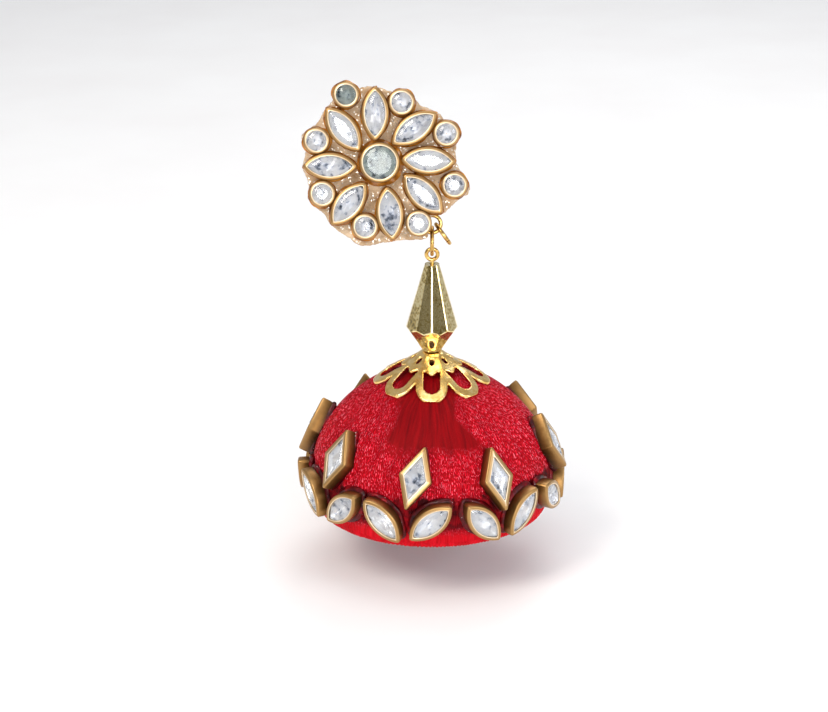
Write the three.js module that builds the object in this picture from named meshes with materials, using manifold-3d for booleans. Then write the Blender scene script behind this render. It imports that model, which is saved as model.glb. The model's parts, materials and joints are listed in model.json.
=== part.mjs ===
// Jhumka earring: a flower stud of foil-backed glass stones on a stiff backing, and a drop
// that hangs from it on a jump ring: eye pin, faceted bead, pierced bead cap and a bell
// wound with silk thread, set with rhombus stones and a zigzag of marquise stones.
// Millimetres, +Z up, the front faces -Y. The origin is the middle of the ear post's pad,
// where it lies against the lobe. The stud leans back, as in a hand or on a display card.
import * as THREE from "three";
import { mergeVertices } from "three/addons/utils/BufferGeometryUtils.js";
import Module from "manifold-3d";

const wasm = await Module();
wasm.setup();

// Clearances
const GLUE_GAP = 0.1; // under a setting, a pad or a tail that is glued down
const LINK_GAP = 0.08; // between two wires that hang on each other
const SEAT_GAP = 0.1; // between the stacked pieces of the drop
const PIN_CLEARANCE = 0.12; // round the pin in each hole that it passes

// Stud: backing, post and loop
const STUD_LEAN = 17; // degrees, top away from the viewer
const PLATE_THICKNESS = 1.2;
const PLATE_MARGIN = 0.15; // backing that shows outside the settings, at least
const PAD_RADIUS = 3.2;
const PAD_THICKNESS = 0.5;
const POST_RADIUS = 0.4;
const POST_LENGTH = 10.5;
const POST_GROOVE_DEPTH = 0.08;
const POST_GROOVE_FROM_TIP = 2.2;
const LOOP_OUTER_DIAMETER = 3.2;
const LOOP_WIRE = 0.6;
const LOOP_DIRECTION = -49.5; // degrees, seen from the front, from the stud's own right
const LOOP_OVERHANG = 1.15; // from the backing's edge out to the middle of the loop
const LOOP_TAIL_LENGTH = 5.5;

// Stones of the stud, each in its own cup setting
const CENTRE_DIAMETER = 6.0;
const PETAL_LENGTH = 8.0;
const PETAL_WIDTH = 4.0;
const SMALL_DIAMETER = 4.0;
const STUD_SETTING_HEIGHT = 2.0;
const SETTING_SPACE = 0.2; // least space between neighbouring settings
const PETAL_COUNT = 8;

// How the maker's hand placed them. Turns and leans are degrees, anticlockwise seen from the
// front, petals from an even step, small stones from the middle of their two petals.
// Reaches are shares of the petal's length and of the small stone's diameter. So are the edge,
// the backing that shows beyond a small stone, and the trim, how far the scissors cut in on
// both sides of it.
const STUD_PLACING = [
  { petalTurn: 2.4, petalLean: -4.4, petalReach: 0.005, smallReach: 0.1, smallEdge: 0.02, trim: 0.1 },
  { petalTurn: -0.3, petalLean: -9.7, petalReach: 0, smallReach: 0, smallEdge: 0, trim: 0.16 },
  { petalTurn: 5.4, petalLean: -5.4, petalReach: 0.01, smallReach: 0.2, smallEdge: 0, trim: 0.16 },
  { petalTurn: 2.8, petalLean: -10, petalReach: 0.015, smallReach: 0, smallEdge: 0.06, trim: 0.14 },
  { petalTurn: 4.5, petalLean: -4.5, petalReach: 0.025, smallReach: 0, smallEdge: 0.04, trim: 0.1 },
  { petalTurn: 8.1, petalLean: -2, petalReach: 0.06, smallReach: 0, smallEdge: 0.2, trim: 0 },
  { petalTurn: 11.4, petalLean: -5.5, petalReach: 0.065, smallReach: 0.1, smallEdge: 0.08, trim: 0 },
  { petalTurn: 9.3, petalLean: -9.3, petalReach: 0.095, smallReach: 0.2, smallEdge: 0.06, trim: 0.04 },
];

// Links
const RING_OUTER_DIAMETER = 4.7;
const RING_WIRE = 0.7;
const SPARE_RING_OUTER_DIAMETER = 4.2;
const SPARE_RING_SEAT = 88; // degrees round the loop from its lowest point
const SPARE_RING_LEAN = 36; // degrees out from straight down

// Eye pin: loop, shank and the head inside the bell
const PIN_WIRE = 0.6;
const EYE_OUTER_DIAMETER = 2.3;
const NECK_LENGTH = 0.35;
const HEAD_RADIUS = 2.4;
const HEAD_THICKNESS = 0.5;

// Faceted bead
const BEAD_LENGTH = 13.8;
const BEAD_RADIUS = 4.05;
const BEAD_TOP_RADIUS = 1.15;
const BEAD_FOOT_RADIUS = 1.5;
const BEAD_SHOULDER_RADIUS = 2.7;
const BEAD_SIDES = 10;
const BEAD_GIRDLE = 0.7; // shares of the bead's length, from its top
const BEAD_ZIGZAG = 0.031;
const BEAD_SHOULDER = 0.87;

// Pierced cap
const CAP_RADIUS = 9.0;
const CAP_HEIGHT = 4.9;
const CAP_WALL = 0.45;
const CAP_PETALS = 8;
const CAP_PETAL_WIDTH = 4.8;
const CAP_SEGMENTS = 40;
const CAP_BAND = 1.15; // metal round each window

// Bell: outer height and radius, wound wall, hole for the thread and pin
const BELL_RADIUS = 18.4;
const BELL_HEIGHT = 22.9;
const BELL_WALL = 2.4;
const BELL_HOLE_RADIUS = 1.2;
const BELL_SEGMENTS = 48;

// Outside of the bell from its foot up, as shares of its radius and height
const BELL_PROFILE = [
  { out: 0.972, up: 0.045 },
  { out: 1.0, up: 0.2 },
  { out: 0.995, up: 0.32 },
  { out: 0.957, up: 0.447 },
  { out: 0.88, up: 0.567 },
  { out: 0.76, up: 0.69 },
  { out: 0.605, up: 0.8 },
  { out: 0.42, up: 0.893 },
  { out: 0.225, up: 0.962 },
];

// Stones of the bell
const RHOMBUS_LENGTH = 10.0;
const RHOMBUS_WIDTH = 5.0;
const RIM_LENGTH = 8.2;
const RIM_WIDTH = 4.1;
const BELL_SETTING_HEIGHT = 2.0;

// Hand placing of the stones on the bell. Turns are degrees: a rim stone's from its even step,
// a rhombus's from the middle of the gap between two rim stones. Leans are degrees from
// upright, anticlockwise seen from outside. Heights are shares of the bell's height.
const RHOMBUS_PLACING = [
  { turn: 3.9, lean: -14.4, up: 0.487 },
  { turn: -0.9, lean: -0.8, up: 0.447 },
  { turn: 1.5, lean: 3, up: 0.48 },
  { turn: 3.5, lean: -6, up: 0.48 },
  { turn: 1.5, lean: -3, up: 0.472 },
  { turn: 3, lean: -6, up: 0.484 },
  { turn: 1, lean: 1, up: 0.478 },
  { turn: 6, lean: -5.4, up: 0.497 },
];
const RIM_PLACING = [
  { turn: -0.3, lean: -49, up: 0.235 },
  { turn: 0.2, lean: 40, up: 0.209 },
  { turn: -1.6, lean: -38, up: 0.216 },
  { turn: -2, lean: 50, up: 0.22 },
  { turn: 0.5, lean: -43, up: 0.215 },
  { turn: -0.6, lean: 46, up: 0.22 },
  { turn: 0.8, lean: -42, up: 0.213 },
  { turn: 0.3, lean: 47, up: 0.222 },
  { turn: -0.8, lean: -45, up: 0.217 },
  { turn: 0.6, lean: 42, up: 0.212 },
  { turn: -0.4, lean: -47, up: 0.221 },
  { turn: 0.7, lean: 44, up: 0.216 },
  { turn: 0.2, lean: -42, up: 0.219 },
  { turn: 2.4, lean: 45, up: 0.228 },
  { turn: 3, lean: -47, up: 0.238 },
  { turn: 1, lean: 42, up: 0.224 },
];

// Parts of every setting
const RIM_OF_CUP = 0.42; // width of the metal that shows round the stone
const CUP_LIP = 0.2; // how far the metal stands over the edge of the stone
const CROWN_WIDTH = 0.7; // slope from the stone's edge to its table
const TABLE_ABOVE_LIP = 0.12;

// Materials
const gold = { color: 0xc99a4c, metalness: 1, roughness: 0.32 };
const brightGold = { color: 0xe3b653, metalness: 1, roughness: 0.18 };
const setStone = { color: 0xd9d2c0, metalness: 0.6, roughness: 0.2 };
const paleGold = { color: 0xcdbd86, metalness: 1, roughness: 0.15 };
const backing = { color: 0xc9a878, metalness: 0.2, roughness: 0.6 };
const silk = { color: 0xb30d22, metalness: 0, roughness: 0.4 };

const WIRE_SIDES = 6;
const RING_STEPS = 16;
const ROUND_SIDES = 12;
const radians = THREE.MathUtils.degToRad;

function piece(name, geometry, look) {
  const mesh = new THREE.Mesh(geometry, new THREE.MeshStandardMaterial(look));
  mesh.name = name;
  return mesh;
}

// Closed body through rings of points, the first and the last one closed flat.
function loftRings(rings) {
  const sides = rings[0].length;
  const points = rings.flat().flatMap((p) => [p.x, p.y, p.z]);
  const faces = [];
  for (let r = 0; r + 1 < rings.length; r++) {
    for (let i = 0; i < sides; i++) {
      const a = r * sides + i;
      const b = r * sides + ((i + 1) % sides);
      faces.push(a, b, a + sides, b, b + sides, a + sides);
    }
  }
  const last = (rings.length - 1) * sides;
  for (let i = 1; i + 1 < sides; i++) {
    faces.push(0, i + 1, i);
    faces.push(last, last + i, last + i + 1);
  }
  const geometry = new THREE.BufferGeometry();
  geometry.setAttribute("position", new THREE.Float32BufferAttribute(points, 3));
  geometry.setIndex(faces);
  return geometry;
}

function asSolid(geometry) {
  const bare = new THREE.BufferGeometry();
  bare.setAttribute("position", geometry.getAttribute("position"));
  if (geometry.index) bare.setIndex(geometry.index);
  const merged = mergeVertices(bare, 1e-4);
  return new wasm.Manifold(
    new wasm.Mesh({
      numProp: 3,
      vertProperties: merged.getAttribute("position").array,
      triVerts: new Uint32Array(merged.index.array),
    }),
  );
}

function asGeometry(solid) {
  const mesh = solid.getMesh();
  const geometry = new THREE.BufferGeometry();
  geometry.setAttribute("position", new THREE.BufferAttribute(mesh.vertProperties, 3));
  geometry.setIndex(new THREE.BufferAttribute(mesh.triVerts, 1));
  return geometry;
}

// Upright rod on the Z axis between two heights.
function rod(radius, low, high, sides = ROUND_SIDES) {
  return new THREE.CylinderGeometry(radius, radius, high - low, sides)
    .rotateX(Math.PI / 2)
    .translate(0, 0, (low + high) / 2);
}

// Profile of [radius, height] pairs turned round the Z axis.
function turned(profile, segments) {
  const points = profile.map(([radius, height]) => new THREE.Vector2(radius, height));
  return new THREE.LatheGeometry(points, segments).rotateX(Math.PI / 2);
}

// Outlines of the stones, drawn in by an inset. The long axis is local Y.
function roundOutline(diameter, inset, height) {
  const radius = diameter / 2 - inset;
  return Array.from({ length: ROUND_SIDES }, (_, i) => {
    const angle = (2 * Math.PI * i) / ROUND_SIDES;
    return new THREE.Vector3(radius * Math.cos(angle), radius * Math.sin(angle), height);
  });
}

// Radius of the two arcs that bound a marquise.
function marquiseArc(length, width) {
  return (length ** 2 + width ** 2) / (4 * width);
}

const MARQUISE_ARC_STEPS = 6;
function marquiseOutline(length, width, inset, height) {
  const arc = marquiseArc(length, width);
  const centreOffset = arc - width / 2;
  const radius = arc - inset;
  const half = Math.acos(centreOffset / radius);
  const points = [];
  for (const side of [1, -1]) {
    for (let i = 0; i < MARQUISE_ARC_STEPS; i++) {
      const angle = -half + (2 * half * i) / MARQUISE_ARC_STEPS;
      const x = radius * Math.cos(angle) - centreOffset;
      points.push(new THREE.Vector3(side * x, side * radius * Math.sin(angle), height));
    }
  }
  return points;
}

const RHOMBUS_CORNER = 0.06; // share of each side that a corner's bevel takes
function rhombusOutline(length, width, inset, height) {
  const toSide = (length * width) / 2 / Math.hypot(length, width);
  const shrink = 1 - inset / toSide;
  const corners = [
    [width / 2, 0],
    [0, length / 2],
    [-width / 2, 0],
    [0, -length / 2],
  ].map(([x, y]) => new THREE.Vector3(x * shrink, y * shrink, height));
  return corners.flatMap((corner, i) => {
    const before = corners[(i + 3) % 4];
    const after = corners[(i + 1) % 4];
    return [
      corner.clone().lerp(before, RHOMBUS_CORNER),
      corner.clone().lerp(after, RHOMBUS_CORNER),
    ];
  });
}

// A cut stone in its cup: flat back, upright wall, rim, and a crown of facets up to the table.
function stoneInCup(outline, height) {
  const stoneEdge = height - CUP_LIP;
  return loftRings([
    outline(0, 0),
    outline(0, height),
    outline(RIM_OF_CUP, height),
    outline(RIM_OF_CUP, stoneEdge),
    outline(RIM_OF_CUP + CROWN_WIDTH, height + TABLE_ABOVE_LIP),
  ]);
}

const roundStone = (diameter, height) =>
  stoneInCup((inset, z) => roundOutline(diameter, inset, z), height);
const marquiseStone = (length, width, height) =>
  stoneInCup((inset, z) => marquiseOutline(length, width, inset, z), height);
const rhombusStone = (length, width, height) =>
  stoneInCup((inset, z) => rhombusOutline(length, width, inset, z), height);

// Stud, in its own frame: X right, Y up along the backing, Z out of its face.
const step = 360 / PETAL_COUNT;
const plateBack = PAD_THICKNESS + GLUE_GAP;
const plateFront = plateBack + PLATE_THICKNESS;
const settingBack = plateFront + GLUE_GAP;
const petalReach = CENTRE_DIAMETER / 2 + SETTING_SPACE + PETAL_LENGTH / 2;

// Where a small stone clears the two petals that it lies between, half a step away from each.
function smallReachBetween(halfStep) {
  const arc = marquiseArc(PETAL_LENGTH, PETAL_WIDTH);
  const centreOffset = arc - PETAL_WIDTH / 2;
  const across = Math.cos(halfStep) * petalReach - Math.sin(halfStep) * centreOffset;
  const apart = arc + SMALL_DIAMETER / 2 + SETTING_SPACE;
  return across + Math.sqrt(across ** 2 - petalReach ** 2 - centreOffset ** 2 + apart ** 2);
}

const petals = STUD_PLACING.map((row, i) => ({
  angle: i * step + row.petalTurn,
  lean: row.petalLean,
  reach: petalReach + row.petalReach * PETAL_LENGTH,
}));
const smallStones = STUD_PLACING.map((row, i) => {
  const before = petals[i].angle;
  const after = petals[(i + 1) % PETAL_COUNT].angle + (i + 1 === PETAL_COUNT ? 360 : 0);
  return {
    angle: (before + after) / 2,
    reach: smallReachBetween(radians((after - before) / 2)) + row.smallReach * SMALL_DIAMETER,
    edge: row.smallEdge * SMALL_DIAMETER,
    trim: row.trim * SMALL_DIAMETER,
  };
});

function onStud(mesh, angle, reach, lean) {
  const a = radians(angle);
  mesh.position.set(reach * Math.cos(a), reach * Math.sin(a), settingBack);
  mesh.rotation.z = radians(angle - 90 + lean);
  return mesh;
}

function studStones() {
  const made = [];
  const centre = roundStone(CENTRE_DIAMETER, STUD_SETTING_HEIGHT);
  made.push(onStud(piece("centre_stone", centre, setStone), 0, 0, 0));
  petals.forEach(({ angle, reach, lean }, i) => {
    const stone = marquiseStone(PETAL_LENGTH, PETAL_WIDTH, STUD_SETTING_HEIGHT);
    made.push(onStud(piece(`petal_stone_${i + 1}`, stone, setStone), angle, reach, lean));
  });
  smallStones.forEach(({ angle, reach }, i) => {
    const stone = roundStone(SMALL_DIAMETER, STUD_SETTING_HEIGHT);
    made.push(onStud(piece(`small_stone_${i + 1}`, stone, setStone), angle, reach, 0));
  });
  return made;
}

// The backing's edge runs round the petal tips and small stones, and dips beside the loop.
function edgePoints() {
  const tips = petals.map(({ angle, reach, lean }) => {
    const a = radians(angle);
    const along = radians(angle + lean);
    const half = PETAL_LENGTH / 2;
    const tip = new THREE.Vector2(
      reach * Math.cos(a) + half * Math.cos(along),
      reach * Math.sin(a) + half * Math.sin(along),
    );
    return { angle: (tip.angle() * 180) / Math.PI, reach: tip.length() };
  });
  const outers = smallStones.map(({ angle, reach, edge }) => ({
    angle: (angle + 360) % 360,
    reach: reach + SMALL_DIAMETER / 2 + edge,
  }));
  const cuts = smallStones.flatMap(({ trim }, i) =>
    [tips[i], tips[(i + 1) % PETAL_COUNT]].map((tip) => {
      const turn = ((outers[i].angle - tip.angle + 540) % 360) - 180;
      return {
        angle: (tip.angle + turn / 2 + 360) % 360,
        reach: ((tip.reach + outers[i].reach) / 2) * Math.cos(radians(turn / 2)) - trim,
      };
    }),
  );
  const dip = (LOOP_DIRECTION + 360) % 360;
  return [...tips, ...outers, ...cuts]
    .map(({ angle, reach }) => ({ angle, reach: reach + PLATE_MARGIN }))
    .filter(({ angle }) => Math.abs(angle - dip) > step / 8)
    .concat({ angle: dip, reach: loopReach - LOOP_OVERHANG })
    .sort((p, q) => p.angle - q.angle)
    .map(({ angle, reach }) => {
      const a = radians(angle);
      return new THREE.Vector3(reach * Math.cos(a), reach * Math.sin(a), 0);
    });
}

const EDGE_STEPS = 96;
const loopMeanRadius = (LOOP_OUTER_DIAMETER - LOOP_WIRE) / 2;
const loopReach =
  Math.max(
    ...smallStones
      .filter(({ angle }) => Math.abs(angle - 360 - LOOP_DIRECTION) < step / 2)
      .map(({ reach }) => reach),
  ) + loopMeanRadius;

function studPlate() {
  const edge = new THREE.CatmullRomCurve3(edgePoints(), true, "centripetal");
  const outline = new THREE.Shape(edge.getPoints(EDGE_STEPS).slice(0, EDGE_STEPS));
  const geometry = new THREE.ExtrudeGeometry(outline, {
    depth: PLATE_THICKNESS,
    bevelEnabled: false,
  });
  return piece("stud_plate", geometry.translate(0, 0, plateBack), backing);
}

function earPost() {
  const grooveRadius = POST_RADIUS - POST_GROOVE_DEPTH;
  const groove = -POST_LENGTH + POST_GROOVE_FROM_TIP;
  const profile = [
    [0, -POST_LENGTH],
    [POST_RADIUS / 2, -POST_LENGTH],
    [POST_RADIUS, -POST_LENGTH + POST_RADIUS],
    [POST_RADIUS, groove - POST_RADIUS],
    [grooveRadius, groove],
    [POST_RADIUS, groove + POST_RADIUS],
    [POST_RADIUS, 0],
    [PAD_RADIUS, 0],
    [PAD_RADIUS, PAD_THICKNESS],
    [0, PAD_THICKNESS],
  ];
  return piece("ear_post", turned(profile, RING_STEPS), gold);
}

const loopDepth = plateBack - GLUE_GAP - LOOP_WIRE / 2;
const loopAngle = radians(LOOP_DIRECTION);
const loopCentre = new THREE.Vector3(
  loopReach * Math.cos(loopAngle),
  loopReach * Math.sin(loopAngle),
  loopDepth,
);

// Ring of wire with a straight tail that is glued along the back of the plate.
function studLoop() {
  const ring = new THREE.TorusGeometry(loopMeanRadius, LOOP_WIRE / 2, WIRE_SIDES, RING_STEPS);
  const tail = new THREE.CylinderGeometry(
    LOOP_WIRE / 2,
    LOOP_WIRE / 2,
    LOOP_TAIL_LENGTH,
    WIRE_SIDES,
  )
    .rotateZ(Math.PI / 2)
    .translate(-loopMeanRadius - LOOP_TAIL_LENGTH / 2, 0, 0);
  const both = asSolid(ring).add(asSolid(tail));
  const mesh = piece("stud_loop", asGeometry(both), gold);
  mesh.position.copy(loopCentre);
  mesh.rotation.z = loopAngle;
  return mesh;
}

const wiresApart = (LOOP_WIRE + RING_WIRE) / 2 + LINK_GAP;

// A second, slack ring through the loop, beside the carrying ring and leaning out to the right.
const spareMeanRadius = (SPARE_RING_OUTER_DIAMETER - RING_WIRE) / 2;
function spareRing() {
  const seat = radians(SPARE_RING_SEAT);
  const lean = radians(SPARE_RING_LEAN);
  const outward = new THREE.Vector3(Math.sin(lean), -Math.cos(lean), 0);
  const facing = new THREE.Vector3(0, 0, 1);
  const ring = new THREE.TorusGeometry(spareMeanRadius, RING_WIRE / 2, WIRE_SIDES, RING_STEPS);
  const mesh = piece("spare_ring", ring, gold);
  const across = outward.clone().cross(facing);
  mesh.rotation.setFromRotationMatrix(new THREE.Matrix4().makeBasis(outward, facing, across));
  mesh.position
    .set(Math.sin(seat), -Math.cos(seat), 0)
    .multiplyScalar(loopMeanRadius - wiresApart)
    .add(loopCentre)
    .addScaledVector(outward, spareMeanRadius);
  return mesh;
}

const stud = new THREE.Group();
stud.add(studPlate(), earPost(), studLoop(), spareRing(), ...studStones());
stud.rotation.x = Math.PI / 2 - radians(STUD_LEAN);
stud.updateMatrixWorld(true);

// Links. The carrying ring hangs edge-on below the loop, in the plane through its lowest wire.
const loopLow = loopCentre
  .clone()
  .add(new THREE.Vector3(0, -loopMeanRadius, 0))
  .applyMatrix4(stud.matrixWorld);
const ringMeanRadius = (RING_OUTER_DIAMETER - RING_WIRE) / 2;
const ringCentre = loopLow.clone().add(new THREE.Vector3(0, 0, wiresApart - ringMeanRadius));
const ringLow = ringCentre.clone().add(new THREE.Vector3(0, 0, -ringMeanRadius));

function jumpRing() {
  const ring = new THREE.TorusGeometry(ringMeanRadius, RING_WIRE / 2, WIRE_SIDES, RING_STEPS);
  const mesh = piece("jump_ring", ring.rotateY(Math.PI / 2), gold);
  mesh.position.copy(ringCentre);
  return mesh;
}

// Drop, hung from the carrying ring. Heights are in the part's frame, on the drop's own axis.
const eyeMeanRadius = (EYE_OUTER_DIAMETER - PIN_WIRE) / 2;
const eyeTop = ringLow.z + (PIN_WIRE + RING_WIRE) / 2 + LINK_GAP;
const eyeCentre = eyeTop - eyeMeanRadius;
const beadTop = eyeCentre - EYE_OUTER_DIAMETER / 2 - NECK_LENGTH;
const beadFoot = beadTop - BEAD_LENGTH;
const capTop = beadFoot - SEAT_GAP;

// Height of the bell's outside above its foot, at a radius, from its smooth profile.
const bellCurve = new THREE.CatmullRomCurve3(
  BELL_PROFILE.map(({ out, up }) => new THREE.Vector3(out * BELL_RADIUS, up * BELL_HEIGHT, 0)),
);
const BELL_STEPS = 11;
const bellOutside = bellCurve.getPoints(BELL_STEPS);

function bellHeightAt(radius) {
  const inner = bellOutside.findIndex((p, i) => i > 2 && p.x < radius);
  const [a, b] = [bellOutside[inner - 1], bellOutside[inner]];
  return a.y + ((b.y - a.y) * (a.x - radius)) / (a.x - b.x);
}

// Cap profile from its middle out, as shares of its radius and height.
const CAP_PROFILE = [
  { out: 0.18, down: 0.03 },
  { out: 0.29, down: 0.17 },
  { out: 0.45, down: 0.36 },
  { out: 0.67, down: 0.58 },
  { out: 0.89, down: 0.85 },
  { out: 1.0, down: 1.0 },
];
const bellFoot = capTop - CAP_HEIGHT - CAP_WALL - SEAT_GAP - bellHeightAt(CAP_RADIUS);

function capShell() {
  const hole = PIN_WIRE / 2 + PIN_CLEARANCE;
  const top = [
    [hole, 0],
    ...CAP_PROFILE.map(({ out, down }) => [out * CAP_RADIUS, -down * CAP_HEIGHT]),
  ];
  const under = top.map(([radius, height]) => [radius, height - CAP_WALL]);
  return turned([...under, ...top.reverse(), under[0]], CAP_SEGMENTS);
}

function extruded(shape, low, high) {
  return asSolid(
    new THREE.ExtrudeGeometry(shape, { depth: high - low, bevelEnabled: false, curveSegments: 5 })
      .translate(0, 0, low),
  );
}

// Petal from the middle outwards along X, with a round end.
function petalShape(reach, width) {
  const shape = new THREE.Shape();
  const half = width / 2;
  shape.moveTo(0, -half);
  shape.lineTo(reach - half, -half);
  shape.absarc(reach - half, 0, half, -Math.PI / 2, Math.PI / 2, false);
  shape.lineTo(0, half);
  shape.closePath();
  return shape;
}

// Window of a petal: round at the tip, with a pointed arch towards the middle.
function windowShape(inner, outer, width) {
  const half = width / 2;
  const shape = new THREE.Shape();
  shape.moveTo(inner, -half);
  shape.lineTo(outer - half, -half);
  shape.absarc(outer - half, 0, half, -Math.PI / 2, Math.PI / 2, false);
  shape.lineTo(inner, half);
  shape.lineTo(inner + half * 0.55, 0);
  shape.closePath();
  return shape;
}

function beadCap() {
  const low = -CAP_HEIGHT - 2 * CAP_WALL;
  const high = 2 * CAP_WALL;
  const windowWidth = CAP_PETAL_WIDTH - 2 * CAP_BAND;
  const window = extruded(windowShape(0.46 * CAP_RADIUS, CAP_RADIUS - CAP_BAND, windowWidth), low, high);
  const pin = asSolid(rod(0.055 * CAP_RADIUS, low, high, 8)).translate([0.3 * CAP_RADIUS, 0, 0]);
  const petal = extruded(petalShape(CAP_RADIUS, CAP_PETAL_WIDTH), low, high);
  const turns = Array.from({ length: CAP_PETALS }, (_, i) => (360 / CAP_PETALS) * i - 90);
  const flower = wasm.Manifold.union(turns.map((turn) => petal.rotate([0, 0, turn])));
  const holes = wasm.Manifold.union(
    turns.flatMap((turn) => [window.rotate([0, 0, turn]), pin.rotate([0, 0, turn])]),
  );
  const solid = asSolid(capShell()).intersect(flower).subtract(holes);
  const mesh = piece("bead_cap", asGeometry(solid), brightGold);
  mesh.position.z = capTop;
  return mesh;
}

// Bead: long facets widen to a zigzag girdle, then kite facets and a row of short ones.
// Corners of a ring lie on the long facets' edges, or half a step on, and the points between
// them lie in the middle of its straight sides.
const halfStep = Math.PI / BEAD_SIDES;
function beadRing(radius, down, onEdges) {
  return Array.from({ length: 2 * BEAD_SIDES }, (_, i) => {
    const corner = (i % 2 === 0) === onEdges;
    const reach = corner ? radius : radius * Math.cos(halfStep);
    const angle = i * halfStep - Math.PI / 2;
    const z = beadTop - down * BEAD_LENGTH;
    return new THREE.Vector3(reach * Math.cos(angle), reach * Math.sin(angle), z);
  });
}

function dropBead() {
  const widest = beadRing(BEAD_RADIUS, BEAD_GIRDLE, true);
  const dipped = beadRing(BEAD_RADIUS / Math.cos(halfStep), BEAD_GIRDLE + BEAD_ZIGZAG, true);
  const girdle = widest.map((point, i) => (i % 2 ? dipped[i] : point));
  const rings = [
    beadRing(BEAD_FOOT_RADIUS, 1, false),
    beadRing(BEAD_SHOULDER_RADIUS, BEAD_SHOULDER, false),
    girdle,
    beadRing(BEAD_TOP_RADIUS, 0, true),
  ];
  const drill = rod(PIN_WIRE / 2 + PIN_CLEARANCE, beadFoot - PIN_WIRE, beadTop + PIN_WIRE);
  const solid = asSolid(loftRings(rings)).subtract(asSolid(drill));
  return piece("drop_bead", asGeometry(solid), paleGold);
}

// Wound wall: outside profile, round foot, and the inside at the wall's thickness.
function threadBell() {
  const outside = bellOutside.map((p) => [p.x, p.y]);
  const inside = bellOutside.map((p, i) => {
    const tangent = bellCurve.getTangent(i / BELL_STEPS);
    return [p.x - tangent.y * BELL_WALL, p.y + tangent.x * BELL_WALL];
  });
  const [footX, footY] = outside[0];
  const half = BELL_WALL / 2;
  const foot = [45, 90, 135].map((degrees) => [
    footX - half + half * Math.cos(radians(degrees)),
    footY * (1 - Math.sin(radians(degrees))),
  ]);
  const topZ = BELL_HEIGHT;
  const profile = [
    [HEAD_RADIUS + PIN_CLEARANCE, topZ - BELL_WALL],
    ...inside.filter(([x]) => x > HEAD_RADIUS + BELL_WALL / 2).reverse(),
    ...foot.reverse(),
    ...outside,
    [BELL_HOLE_RADIUS * 1.6, topZ],
    [BELL_HOLE_RADIUS, topZ - BELL_WALL / 4],
    [BELL_HOLE_RADIUS, topZ - BELL_WALL],
  ];
  profile.push(profile[0]);
  const mesh = piece("thread_bell", turned(profile, BELL_SEGMENTS), silk);
  mesh.position.z = bellFoot;
  return mesh;
}

// Loop, shank and head, one length of wire with an upset end.
function eyePin() {
  const eye = new THREE.TorusGeometry(eyeMeanRadius, PIN_WIRE / 2, WIRE_SIDES, RING_STEPS)
    .rotateX(Math.PI / 2)
    .translate(0, 0, eyeCentre);
  const headTop = bellFoot + BELL_HEIGHT - BELL_WALL - SEAT_GAP;
  const shankTop = eyeCentre - eyeMeanRadius;
  const shank = rod(PIN_WIRE / 2, headTop - HEAD_THICKNESS / 2, shankTop, WIRE_SIDES);
  const head = rod(HEAD_RADIUS, headTop - HEAD_THICKNESS, headTop);
  const solid = asSolid(eye).add(asSolid(shank)).add(asSolid(head));
  return piece("eye_pin", asGeometry(solid), gold);
}

// Frame of a setting on the bell: out of the wound surface, upright along it.
function onBell(mesh, turn, up, lean) {
  const at = bellOutside.findIndex((p) => p.y > up * BELL_HEIGHT);
  const [below, above] = [bellOutside[at - 1], bellOutside[at]];
  const share = (up * BELL_HEIGHT - below.y) / (above.y - below.y);
  const point = below.clone().lerp(above, share);
  const along = above.clone().sub(below).normalize();
  const a = radians(turn - 90);
  const around = new THREE.Vector3(-Math.sin(a), Math.cos(a), 0);
  const radial = new THREE.Vector3(Math.cos(a), Math.sin(a), 0);
  const upward = radial.clone().multiplyScalar(along.x).add(new THREE.Vector3(0, 0, along.y));
  const outward = around.clone().cross(upward);
  const frame = new THREE.Matrix4().makeBasis(around, upward, outward);
  frame.multiply(new THREE.Matrix4().makeRotationZ(radians(lean)));
  mesh.rotation.setFromRotationMatrix(frame);
  mesh.position
    .copy(radial.multiplyScalar(point.x))
    .add(new THREE.Vector3(0, 0, bellFoot + point.y))
    .add(outward.multiplyScalar(GLUE_GAP));
  return mesh;
}

const rimStep = 360 / RIM_PLACING.length;
const rhombusStep = 360 / RHOMBUS_PLACING.length;
function bellStones() {
  const rhombi = RHOMBUS_PLACING.map(({ turn, lean, up }, i) => {
    const stone = rhombusStone(RHOMBUS_LENGTH, RHOMBUS_WIDTH, BELL_SETTING_HEIGHT);
    const around = rhombusStep * i - rimStep / 2 + turn;
    return onBell(piece(`rhombus_stone_${i + 1}`, stone, setStone), around, up, lean);
  });
  const rim = RIM_PLACING.map(({ turn, lean, up }, i) => {
    const stone = marquiseStone(RIM_LENGTH, RIM_WIDTH, BELL_SETTING_HEIGHT);
    return onBell(piece(`rim_stone_${i + 1}`, stone, setStone), rimStep * i + turn, up, lean);
  });
  return [...rhombi, ...rim];
}

const drop = new THREE.Group();
drop.add(eyePin(), dropBead(), beadCap(), threadBell(), ...bellStones());
drop.position.set(loopLow.x, loopLow.y, 0);

const earring = new THREE.Group();
earring.add(stud, jumpRing(), drop);
export default earring;
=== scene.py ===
# %% [markdown]
# # A jhumka earring
# A jhumka is a bell-shaped earring. This one has a flower stud of foil-backed glass stones, and
# a bell wound with red silk thread that hangs from it on a jump ring. The solids that come with
# the frame give every size and place. This lesson dresses them with the surfaces that the eye
# reads: rounded metal, cut glass, wound thread and glitter felt.

import json
import math
import random

import bmesh
import bpy
import numpy as np
from mathutils import Matrix, Vector, noise

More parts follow.
